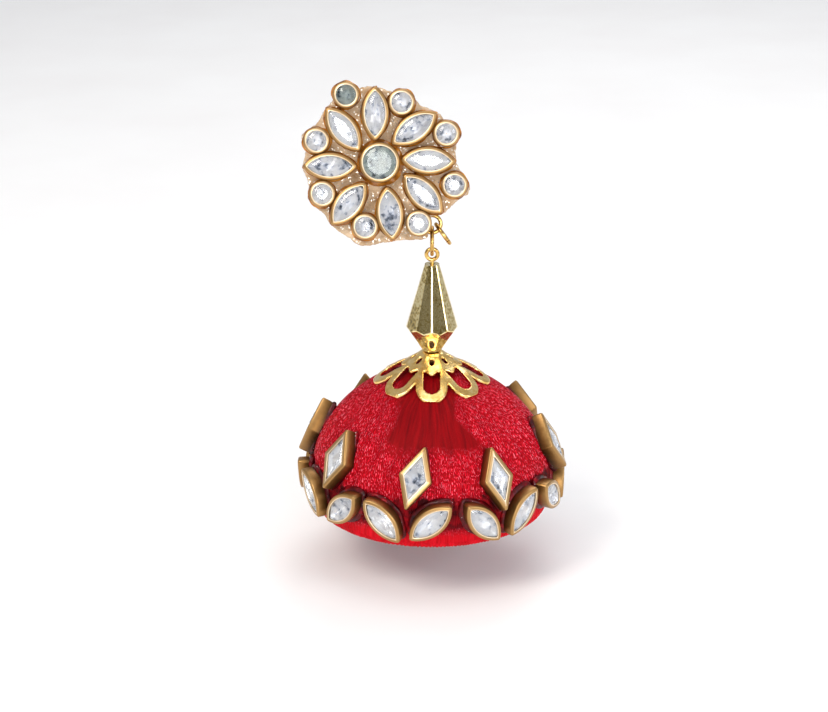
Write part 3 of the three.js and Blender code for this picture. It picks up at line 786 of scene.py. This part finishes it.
# The fan's dark reds are painted shade.
fan_painted_shade = ramp(silk, streaks, (0.3, "#680208"), (0.7, "#94050d"))
smooth_bright = ramp(silk, streaks, (0.3, "#b00612"), (0.7, "#da1022"))
colour = mix(silk, fan, ply_painted_highlight_and_shade, fan_painted_shade)
colour = mix(silk, soaked, colour, ramp(silk, ragged, (0.35, "#3a0408"), (0.6, "#8c0814")))
colour = mix(silk, hem, colour, smooth_bright)
calm = maths(silk, "MAXIMUM", maths(silk, "MAXIMUM", fan, hem), soaked)
relief = times(silk, hump, grey(silk, calm, 1.0, 0.15))
shade(
    silk,
    Base_Color=colour,
    Roughness=grey(silk, calm, 0.36, 0.5),
    Specular_IOR_Level=0.06,
    Sheen_Weight=0.02,
    Sheen_Tint=linear("#ff5a70"),
    Sheen_Roughness=0.3,
    Normal=bump(silk, relief, 0.22, 0.8),
)


# %% Wound profile
# Shares of the bell's radius and height, from the foot up.
BELL_PROFILE = [(0.972, 0.045), (1.0, 0.2), (0.995, 0.32), (0.957, 0.447), (0.88, 0.567)]
BELL_PROFILE += [(0.76, 0.69), (0.605, 0.8), (0.42, 0.893), (0.225, 0.962)]
OUTSIDE_STEPS = 46
BELL_WALL = 2.4 * MM
HOLE = 1.2 * MM
HOLE_EDGE = 1.9 * MM  # where the top starts to dip into the hole
HOLE_DIP = 0.6 * MM
INNER_FLAT = 2.6 * MM  # flat ring inside, round the hole


def smooth_line(points, steps):
    """Points on a smooth curve through given ones, evenly shared between them."""
    ends = [2 * points[0] - points[1], *points, 2 * points[-1] - points[-2]]
    line = []
    for i in range(steps + 1):
        t = min(i / steps * (len(points) - 1), len(points) - 1 - 1e-9)
        k, u = int(t), t - int(t)
        p, q, r, s = ends[k : k + 4]
        line.append(
            0.5 * (2 * q + (r - p) * u + (2 * p - 5 * q + 4 * r - s) * u**2
                   + (3 * q - p - 3 * r + s) * u**3)
        )
    return line


through = [Vector((out * BELL_RADIUS, up * BELL_HEIGHT)) for out, up in BELL_PROFILE]
outside = smooth_line(through, OUTSIDE_STEPS)
inside = []
for before, point, after in zip(outside, outside[1:], outside[2:]):
    side = (after - before).normalized()
    inside.append(point + BELL_WALL * Vector((-side.y, side.x)))
inside = [p for p in inside[::2] if p.x > INNER_FLAT + BELL_WALL / 2]
rim = []
for degrees in range(15, 180, 15):
    a = math.radians(degrees)
    inwards = BELL_WALL / 2 * (1 - math.cos(a))
    rim.append(Vector((outside[0].x - inwards, outside[0].y * (1 - math.sin(a)))))
rim.reverse()
top = [Vector((HOLE_EDGE, BELL_HEIGHT)), Vector((HOLE, BELL_HEIGHT - HOLE_DIP))]
bottom = [Vector((HOLE, BELL_HEIGHT - BELL_WALL)), Vector((INNER_FLAT, BELL_HEIGHT - BELL_WALL))]
profile = [*outside, *top, *bottom, *reversed(inside), *rim]
lengths = [0.0]
for before, after in zip(profile, profile[1:]):
    lengths.append(lengths[-1] + (after - before).length)
print("points of the wound profile:", len(profile), "length, mm:", round(lengths[-1] / MM, 1))


def turned(points, steps, seam, closed=True):
    """Spins a line of points, out and up, round Z. Corners keep their number on it in "row"."""
    bpy.ops.object.select_all(action="DESELECT")
    bpy.ops.mesh.primitive_circle_add(vertices=len(points), radius=1, fill_type="NOTHING")
    made = bpy.context.object
    for vertex, point in zip(made.data.vertices, points):
        vertex.co = (point.x, 0, point.y)
    row = made.data.attributes.new("row", "INT", "POINT")
    row.data.foreach_set("value", list(range(len(points))))
    bpy.ops.object.mode_set(mode="EDIT")
    if not closed:
        pick("EDGE", lambda e: abs(e.verts[0].index - e.verts[1].index) > 1)
        bpy.ops.mesh.delete(type="EDGE")
    everything()
    bpy.ops.mesh.spin(steps=steps, angle=math.tau, center=(0, 0, 0), axis=(0, 0, 1))
    everything()
    bpy.ops.mesh.remove_doubles(threshold=seam)
    close_edit()
    return made


# %% Ridges of thread
RIDGES = 216
ACROSS_RIDGE = (0.0, 0.78, 1.0, 0.78)  # height of its four columns, from groove to groove
COLUMNS = len(ACROSS_RIDGE) * RIDGES
RELIEF = 0.15 * MM
WANDER = 1.3  # ridges
WANDER_OVER, WANDER_ROUND = 4 * MM, 9  # length along the thread, and waves round the bell
FLAT_LEFT = 5.4  # the modelled fan's left side at its top, millimetres from the middle
FLATTENED = 0.2

bell = turned(profile, COLUMNS, 0.0005 * MM)
count = len(bell.data.vertices)
at = np.zeros(count * 3)
bell.data.vertices.foreach_get("co", at)
at = at.reshape(-1, 3)
rows = np.zeros(count, int)
bell.data.attributes["row"].data.foreach_get("value", rows)
turn = np.arctan2(at[:, 1], at[:, 0]) % math.tau
column = np.rint(turn / math.tau * COLUMNS).astype(int) % COLUMNS
path = np.array(lengths)[rows]
# Neighbouring ridges wander together, slowly.
drift = np.array([
    noise.noise(Vector((math.cos(t) * WANDER_ROUND, math.sin(t) * WANDER_ROUND, s / WANDER_OVER)))
    for t, s in zip(turn, path)
])
radius = np.hypot(at[:, 0], at[:, 1])
turn = turn + drift * WANDER * math.tau / RIDGES
shape_of_ridge = np.array(ACROSS_RIDGE)[column % len(ACROSS_RIDGE)]
ridge_luck = np.array([random.uniform(0.65, 1.0) for _ in range(RIDGES)])
swell = RELIEF * (shape_of_ridge * ridge_luck[column // len(ACROSS_RIDGE)] - 0.5)
swell *= np.clip(radius / BELL_RADIUS * 1.6, 0.2, 1)
# The fan under the front petal lies flat.
height_share = at[:, 2] / BELL_HEIGHT
from_front = (turn - 1.5 * math.pi) * radius / MM
down = np.clip((FAN_TOP - height_share) / (FAN_TOP - FAN_WIDEST), 0, 1)
flat = from_front < FAN_RIGHT + FAN_RIGHT_GAIN * down
flat &= from_front > -FLAT_LEFT - FAN_LEFT_GAIN * down
flat &= (height_share > 0.6) & (path < lengths[OUTSIDE_STEPS])
swell[flat] *= FLATTENED
points = np.array([[p.x, p.y] for p in profile])
ahead = np.roll(points, -1, 0) - np.roll(points, 1, 0)
ahead /= np.linalg.norm(ahead, axis=1)[:, None]
normals = np.stack([ahead[:, 1], -ahead[:, 0]], 1)
if normals[0][0] < 0:
    normals = -normals
radius = radius + swell * normals[rows][:, 0]
up = at[:, 2] + swell * normals[rows][:, 1]
at = np.stack([radius * np.cos(turn) + axis.x, radius * np.sin(turn) + axis.y, up + foot], 1)
bell.data.vertices.foreach_set("co", at.ravel())

winding = bell.data.uv_layers.new(name="winding")
last = len(profile) - 1
uvs = np.zeros((len(bell.data.loops), 2))
for face in bell.data.polygons:
    ids = [bell.data.loops[i].vertex_index for i in face.loop_indices]
    wraps = max(column[i] for i in ids) - min(column[i] for i in ids) > COLUMNS / 2
    closes = max(rows[i] for i in ids) == last and min(rows[i] for i in ids) == 0
    for loop, i in zip(face.loop_indices, ids):
        u = column[i] + (COLUMNS if wraps and column[i] < COLUMNS / 2 else 0)
        v = lengths[-1] + 1 * MM if closes and rows[i] == 0 else path[i]
        uvs[loop] = (u / len(ACROSS_RIDGE), v / MM)
winding.data.foreach_set("uv", uvs.ravel())
bell.data.attributes.remove(bell.data.attributes["row"])
bell.data.materials.append(silk)
settle(bell, "wound_thread", 80)
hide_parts("thread_bell")
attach(bell, "drop")
print("thread faces:", len(bell.data.polygons))

# %% [markdown]
# ## Glue
# The settings on the bell sit in glossy glue that has soaked the thread to a dark wine red,
# with white spots painted in it as glints of glitter. Those on the stud sit in clear amber glue.
# Each blob is a low mound that follows its cup's outline, wider than the cup by the glue that
# squeezed out.

# %% Two glues
wine_glue = finish("glossy_glue_over_thread")
# A few cells get near-white spots in the glue's colour: painted glints.
glint_falloff, painted_glint_cells = flecks(wine_glue, 0.5, 0.72)
glint = ramp(wine_glue, glint_falloff, (0.06, "#fff3ec"), (0.16, "#000000"))
painted_glints = times(wine_glue, node(wine_glue, "RGBToBW", {"Color": glint}).outputs["Val"], painted_glint_cells)
pool = noise_at(wine_glue, 1.4)
wine = ramp(wine_glue, pool, (0.35, "#2a0206"), (0.55, "#5a040c"), (0.72, "#9a0a17"))
shade(
    wine_glue,
    Base_Color=mix(wine_glue, painted_glints, wine, linear("#fff1e8")),
    Roughness=0.3,
    Specular_IOR_Level=0.22,
    Normal=bump(wine_glue, noise_at(wine_glue, 0.7, 2), 0.12, 0.6),
)

amber_glue = finish("amber_glue")
thick = noise_at(amber_glue, 1.6)
shade(
    amber_glue,
    Base_Color=ramp(amber_glue, thick, (0.35, "#6a390c"), (0.5, "#a5651f"), (0.7, "#cf9040")),
    Roughness=0.14,
    Coat_Weight=0.5,
    Normal=bump(amber_glue, noise_at(amber_glue, 0.8, 2), 0.12, 0.6),
)


# %% Mounds of glue
MOUNDS = (
    # kind, wider than the cup, height, depth below the seat in millimetres, body, glue
    ("rim", 0.6, 0.3, 0.9, "drop", wine_glue),
    ("rhombus", 0.25, 0.2, 0.8, "drop", wine_glue),
    ("petal", 0.35, 0.4, 0.12, "stud", amber_glue),
    ("small", 0.3, 0.4, 0.12, "stud", amber_glue),
    ("centre", 0.6, 0.4, 0.12, "stud", amber_glue),
)
UNEVEN = 0.22  # millimetres
BARE = "small_stone_7"  # no glue squeezes out here, where the ring swings past


def mound(kind, wider, high, deep):
    """A low mound that is wider than a cup, with its foot sunk below the seat."""
    form, length, width, *_ = SETTINGS[kind]
    length, width = length + 2 * wider, width + 2 * wider
    made = filled_outline(form, length, width, {"round": 20, "rhombus": 4, "marquise": 30}[form])
    pick("FACE", lambda f: True)
    bpy.ops.transform.translate(value=(0, 0, -deep * MM))
    lift(deep)
    lift(high, ((width - wider * 1.7) / width, (length - wider * 1.7) / length))
    lift(0.02, (0.8, 0.9))
    close_edit()
    return settle(made, "mound_" + kind, 40)


def spread(node_name, pattern, body, look, slot, seed):
    """Puts a mound at a stone's seat and makes it uneven and smooth."""
    made = copy_of(pattern, "glue_at_" + node_name, seats[node_name])
    open_edit(made)
    bpy.ops.transform.vertex_random(offset=UNEVEN * MM, uniform=1, seed=seed)
    bpy.ops.object.mode_set(mode="OBJECT")
    finish_modifier(made, "SUBSURF", levels=2, render_levels=2)
    settle(made, made.name, 60)
    made.data.materials.append(look)
    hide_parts(node_name)
    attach(made, body)


for kind, wider, high, deep, body, look in MOUNDS:
    pattern = mound(kind, wider, high, deep)
    for seed, name in enumerate((n for n in seats if n.startswith(kind)), 1):
        if name != BARE:
            spread(name, pattern, body, look, "set_stone", seed)
    bpy.data.objects.remove(pattern)
print("glue mounds:", len(seats) - 1)

# %% [markdown]
# ## Bead cap
# The cap is stamped from thin brass: eight petals, each with a U-shaped window, and a small
# oval hole near the middle. A spun dome is cut to the flower's outline and pierced. Stamping
# and plating round every edge, which a fine voxel remesh and a light smoothing do in one go.

# %% Polished gold
polished_gold = finish("bright_gold_plating")
tarnish = noise_at(polished_gold, 1.7, 4, 0.65)
shade(
    polished_gold,
    Base_Color=ramp(polished_gold, tarnish, (0.3, "#dcae5a"), (0.5, "#f8cf80"), (0.7, "#ffe5ab")),
    Metallic=1.0,
    Roughness=grey(polished_gold, tarnish, 0.3, 0.16),
    Normal=bump(polished_gold, noise_at(polished_gold, 0.5, 2), 0.03, 0.4),
)

# %% Cap
CAP_RADIUS, CAP_HEIGHT, CAP_WALL = 9.0 * MM, 4.9 * MM, 0.45 * MM
PETALS, PETAL_WIDTH, BAND = 8, 4.8 * MM, 1.15 * MM
# Shares of the cap's radius and, downwards, of its height.
CAP_PROFILE = [(0.06, 0.0), (0.18, 0.03), (0.29, 0.17), (0.45, 0.36)]
CAP_PROFILE += [(0.67, 0.58), (0.89, 0.85), (1, 1)]
CAP_STEPS = 22
PETAL_START = 0.2 * MM
WINDOW_START, WINDOW_NOTCH = 0.44 * CAP_RADIUS, 0.7 * MM
OVAL_AT, OVAL_RADIUS, OVAL_SHAPE = 0.3 * CAP_RADIUS, 0.45 * MM, (1.35, 0.8, 1)
CENTRE_DISC = 0.36 * CAP_RADIUS
CUTTER_LOW, CUTTER_DEPTH = -8 * MM, 12 * MM
TOOL_MIDDLE, TOOL_DEPTH = -2 * MM, 14 * MM
CAP_VOXEL = 0.09 * MM
cap_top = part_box("bead_cap")[1].z

through = [Vector((out * CAP_RADIUS, -down * CAP_HEIGHT)) for out, down in CAP_PROFILE]
cap = turned(smooth_line(through, CAP_STEPS), 128, 0.001 * MM, closed=False)
cap.data.attributes.remove(cap.data.attributes["row"])
if sum(f.normal.z for f in cap.data.polygons) < 0:
    cap.data.flip_normals()
finish_modifier(cap, "SOLIDIFY", thickness=CAP_WALL, offset=-1)


# %% Cutters for the flower and its windows
def slab(name, half_width, start, end, notch=0.0):
    """An upright prism on X with a round end and, where asked, a curved notch at its start."""
    bpy.ops.mesh.primitive_circle_add(
        vertices=64, radius=half_width, fill_type="NGON", location=(end - half_width, 0, 0)
    )
    made = bpy.context.object
    bpy.ops.object.transform_apply(location=True)
    bpy.ops.object.mode_set(mode="EDIT")
    everything()
    bpy.ops.mesh.bisect(plane_co=(end - half_width, 0, 0), plane_no=(1, 0, 0), clear_inner=True)
    pick("EDGE", lambda e: abs(e.calc_length() - 2 * half_width) < 0.01 * MM)
    extrude(start - end + half_width, 0, 0)
    pick("EDGE", lambda e: abs(middle(e).x - start) < 0.001 * MM)
    if notch:
        bpy.ops.mesh.subdivide(number_cuts=7)
        pick("VERT", lambda v: abs(v.co.x - start) < 0.001 * MM)
        shape = bmesh.from_edit_mesh(made.data)
        for v in shape.verts:
            if v.select:
                v.co.x += notch * max(0.0, 1 - (v.co.y / (0.72 * half_width)) ** 2)
        bmesh.update_edit_mesh(made.data)
    pick("FACE", lambda f: True)
    bpy.ops.transform.translate(value=(0, 0, CUTTER_LOW))
    extrude(0, 0, CUTTER_DEPTH)
    close_edit()
    made.name = name
    return made


petal = slab("petal_cutter", PETAL_WIDTH / 2, PETAL_START, CAP_RADIUS)
window = slab(
    "window_cutter", PETAL_WIDTH / 2 - BAND, WINDOW_START, CAP_RADIUS - BAND, WINDOW_NOTCH
)
oval = cylinder(24, OVAL_RADIUS, TOOL_DEPTH, (OVAL_AT, 0, TOOL_MIDDLE))
oval.scale = OVAL_SHAPE
bpy.ops.object.transform_apply(location=False, rotation=False, scale=True)
settle(oval, "oval_cutter")
flower = settle(cylinder(48, CENTRE_DISC, TOOL_DEPTH, (0, 0, TOOL_MIDDLE)), "flower")
pierced = []
for i in range(PETALS):
    spin_to = Matrix.Rotation(math.tau * i / PETALS - math.pi / 2, 4, "Z")
    arm = copy_of(petal, "arm", spin_to)
    finish_modifier(flower, "BOOLEAN", operation="UNION", object=arm, solver="EXACT")
    bpy.data.objects.remove(arm)
    pierced += [copy_of(window, "window", spin_to), copy_of(oval, "oval", spin_to)]
finish_modifier(cap, "BOOLEAN", operation="INTERSECT", object=flower, solver="EXACT")
for cutter in pierced:
    finish_modifier(cap, "BOOLEAN", operation="DIFFERENCE", object=cutter, solver="EXACT")
for made in [petal, window, oval, flower, *pierced]:
    bpy.data.objects.remove(made)
finish_modifier(cap, "REMESH", mode="VOXEL", voxel_size=CAP_VOXEL)
finish_modifier(cap, "SMOOTH", factor=0.5, iterations=8)
cap.data.transform(Matrix.Translation((axis.x, axis.y, cap_top)))
cap.data.materials.append(polished_gold)
settle(cap, "pierced_cap", 60)
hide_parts("bead_cap")
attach(cap, "drop")
print("cap faces:", len(cap.data.polygons))

# %% [markdown]
# ## Faceted bead
# A pear-shaped glass bead with a pale gold metal coating, cut with long facets above and kites
# below. The solid already has the facets, so a copy of it gets what cutting leaves: a very
# narrow polished edge between every two facets. The coating is a little speckled.

# %% Coated glass
coated_glass = finish("pale_gold_metallised_glass")
cells = {"Vector": where(coated_glass), "Scale": per_mm(0.36)}
speckle = node(coated_glass, "TexVoronoi", cells, feature="SMOOTH_F1").outputs["Distance"]
veil = noise_at(coated_glass, 4.0, 3)
mixed = plus(coated_glass, times(coated_glass, speckle, 0.7), veil)
shade(
    coated_glass,
    Base_Color=ramp(coated_glass, mixed, (0.5, "#8e7a42"), (0.68, "#d6ba70"), (0.9, "#f6e2a8")),
    Metallic=0.9,
    Roughness=0.07,
    Coat_Weight=1.0,
    Coat_Roughness=0.02,
    Normal=bump(coated_glass, speckle, 0.02, 0.12),
)


# %% Bead
FACET_ANGLE, FACET_EDGE = math.radians(12), 0.7 * MM  # sharper and longer ones lie between facets
POLISHED = 0.1 * MM


def merged_copy(node_name, name):
    """A copy of a solid of the frame, with its loose triangles joined into flat faces."""
    made = copy_of(frame["nodes"][node_name], name)
    made.data.materials.clear()
    open_edit(made)
    bpy.ops.mesh.remove_doubles(threshold=0.002 * MM)
    bpy.ops.mesh.dissolve_limited(angle_limit=math.radians(0.5))
    bpy.ops.object.mode_set(mode="OBJECT")
    return made


def between_facets(edge):
    return edge.calc_face_angle(0) > FACET_ANGLE and edge.calc_length() > FACET_EDGE


bead = merged_copy("drop_bead", "faceted_bead")
bevel_edges(bead, between_facets, POLISHED, 1)
settle(bead, "faceted_bead", 3)
bead.data.materials.append(coated_glass)
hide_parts("drop_bead")
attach(bead, "drop")
print("bead faces:", len(bead.data.polygons))

# %% [markdown]
# ## Rings, loop and eye pin
# All of these are gold-plated brass wire, bent with pliers. A jump ring is cut from a coil, so
# it has a fine gap where its two ends meet. A round of wire is spun round the ring's axis,
# almost all the way. The two jump rings have a slightly thinner wire than their solids, on the
# same centre line, so that they clear each other and the stones at the ends of the swing.

# %% Gold wire
gold_wire = finish("gold_plated_wire")
rub = noise_at(gold_wire, 0.9, 3)
shade(
    gold_wire,
    Base_Color=ramp(gold_wire, rub, (0.3, "#b98c42"), (0.7, "#e6c47c")),
    Metallic=1.0,
    Roughness=grey(gold_wire, rub, 0.16, 0.28),
)

WIRE_SIDES = 20
SOLID_WIRE, SOLID_SPARE_RING = 0.7, 4.2  # millimetres, as the solids have them
THINNER = 0.1


def wire_ring(name, outer, wire, place, gap, start):
    """A ring round the place's Z axis, cut open by a few degrees at a start angle from its X."""
    reach = (outer - wire) / 2 * MM
    bpy.ops.object.select_all(action="DESELECT")
    bpy.ops.mesh.primitive_circle_add(
        vertices=WIRE_SIDES,
        radius=wire / 2 * MM,
        fill_type="NGON",
        location=(reach, 0, 0),
        rotation=(math.pi / 2, 0, 0),
    )
    made = bpy.context.object
    bpy.ops.object.transform_apply(location=True, rotation=True, scale=True)
    bpy.ops.object.mode_set(mode="EDIT")
    everything()
    bpy.ops.mesh.spin(steps=72, angle=math.radians(360 - gap), center=(0, 0, 0), axis=(0, 0, 1))
    pick("FACE", lambda f: len(f.verts) > 4)
    bpy.ops.mesh.bevel(offset=0.05 * MM, segments=2, affect="EDGES")
    close_edit()
    made.data.transform(place @ Matrix.Rotation(math.radians(start), 4, "Z"))
    made.data.materials.append(gold_wire)
    return settle(made, name, 50)


def ring_place(node_name):
    """Place of a plain ring of the frame, with the ring's axis as its Z."""
    at = np.array([v.co for v in frame["nodes"][node_name].data.vertices])
    _, vectors = np.linalg.eigh(np.cov(at.T))
    turn = Vector(vectors[:, 0]).to_track_quat("Z", "Y").to_matrix().to_4x4()
    turn.translation = Vector(at.mean(0))
    return turn


link_low, link_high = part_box("jump_ring")
RING = (link_high.z - link_low.z) / MM
wire = SOLID_WIRE - THINNER
jump = wire_ring("jump_ring_wire", RING - THINNER, wire, ring_place("jump_ring"), 3, 60)
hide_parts("jump_ring")
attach(jump, "link")
spare_outer = SOLID_SPARE_RING - THINNER
spare = wire_ring("spare_ring_wire", spare_outer, wire, ring_place("spare_ring"), 5, 200)
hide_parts("spare_ring")
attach(spare, "stud")
print("outer diameter of the jump ring, mm:", round(RING, 2))

# %% Stud's own frame, and its loop
STUD_LEAN = 17  # degrees
stud_frame = Matrix.Rotation(math.radians(90 - STUD_LEAN), 4, "X")
LOOP_OUTER, LOOP_WIRE, LOOP_TAIL = 3.2, 0.6, 5.5  # millimetres
LOOP_DIRECTION = -49.5  # degrees
link_pivot = Vector(frame["joints"][0]["pos_m"])
loop_reach = (LOOP_OUTER - LOOP_WIRE) / 2 * MM
loop_middle = link_pivot + stud_frame.to_3x3() @ Vector((0, loop_reach, 0))
loop_place = stud_frame @ Matrix.Rotation(math.radians(LOOP_DIRECTION), 4, "Z")
loop_place.translation = loop_middle
loop = wire_ring("loop_round", LOOP_OUTER, LOOP_WIRE, loop_place, 2, 181)
tail = cylinder(WIRE_SIDES, LOOP_WIRE / 2 * MM, LOOP_TAIL * MM)
outwards = Matrix.Translation((-loop_reach - LOOP_TAIL / 2 * MM, 0, 0))
tail.data.transform(loop_place @ outwards @ Matrix.Rotation(math.pi / 2, 4, "Y"))
tail.data.materials.append(gold_wire)
settle(tail, "loop_tail", 50)
for made in (loop, tail):
    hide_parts("stud_loop")
    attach(made, "stud")

# %% Eye pin
PIN_WIRE, EYE_OUTER = 0.6, 2.3  # millimetres
HEAD_RADIUS, HEAD_HEIGHT, HEAD_ROUND = 2.4 * MM, 0.5 * MM, 0.16 * MM
SHANK_IN_HEAD = 0.3 * MM  # how high above the head's foot the shank starts
pin_low, pin_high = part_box("eye_pin")
eye_middle = Vector((axis.x, axis.y, pin_high.z - EYE_OUTER / 2 * MM))
eye_place = Matrix.Rotation(math.pi / 2, 4, "X")
eye_place.translation = eye_middle
eye = wire_ring("eye_round", EYE_OUTER, PIN_WIRE, eye_place, 8, 94)
shank_top = eye_middle.z - (EYE_OUTER - PIN_WIRE) / 2 * MM
shank_foot = pin_low.z + SHANK_IN_HEAD
shank_middle = (axis.x, axis.y, (shank_top + shank_foot) / 2)
shank = cylinder(WIRE_SIDES, PIN_WIRE / 2 * MM, shank_top - shank_foot, shank_middle)
settle(shank, "pin_shank", 50)
head_middle = (axis.x, axis.y, pin_low.z + HEAD_HEIGHT / 2)
head = cylinder(48, HEAD_RADIUS, HEAD_HEIGHT, head_middle)
bevel_edges(head, lambda e: e.calc_face_angle(0) > 1, HEAD_ROUND, 3)
settle(head, "pin_head", 50)
for made in (eye, shank, head):
    if not made.data.materials:
        made.data.materials.append(gold_wire)
    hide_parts("eye_pin")
    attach(made, "drop")

# %% Ear post
post = merged_copy("ear_post", "post_and_pad")
POST_EDGE = {"width": 0.06 * MM, "segments": 2, "angle_limit": math.radians(40)}
finish_modifier(post, "BEVEL", limit_method="ANGLE", **POST_EDGE)
post.data.materials.append(gold_wire)
settle(post, "post_and_pad", 40)
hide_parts("ear_post")
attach(post, "stud")

# %% [markdown]
# ## Glitter felt
# The backing is stiff felt with pale glitter, cut round the settings with scissors. A copy of the
# plate is remeshed finely, and two noises push it in and out, so its edge is ragged.

# %% Felt
glitter_felt = finish("glitter_felt")
fleck, bright = flecks(glitter_felt, 0.24, 0.9)
tone = noise_at(glitter_felt, 2.2, 3)
wool = ramp(glitter_felt, tone, (0.3, "#ae8a62"), (0.7, "#dcc2a2"))
shade(
    glitter_felt,
    Base_Color=mix(glitter_felt, bright, wool, linear("#fff6e6")),
    Roughness=grey(glitter_felt, bright, 0.75, 0.25),
    Metallic=grey(glitter_felt, bright, 0.0, 0.7),
    Normal=bump(glitter_felt, fleck, 0.12, 0.7),
)
FELT_VOXEL = 0.2 * MM
FELT_LUMPS = ((0.9, 0.2), (0.4, 0.12))  # size and height in millimetres
felt = merged_copy("stud_plate", "felt_backing")
finish_modifier(felt, "REMESH", mode="VOXEL", voxel_size=FELT_VOXEL)
outward = [vertex.normal.copy() for vertex in felt.data.vertices]
for vertex, normal in zip(felt.data.vertices, outward):
    rough = sum(noise.noise(vertex.co / (size * MM)) * height for size, height in FELT_LUMPS)
    vertex.co += normal * rough * MM
felt.data.materials.append(glitter_felt)
settle(felt, "felt_backing", 80)
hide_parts("stud_plate")
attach(felt, "stud")

# %% [markdown]
# ## Triangle count
# The triangles of every piece that renders are counted and printed.

# %% Finish
triangles = 0
for made in bpy.data.objects:
    if made.type == "MESH" and not made.hide_render:
        triangles += sum(len(face.vertices) - 2 for face in made.data.polygons)
print("triangles:", triangles)
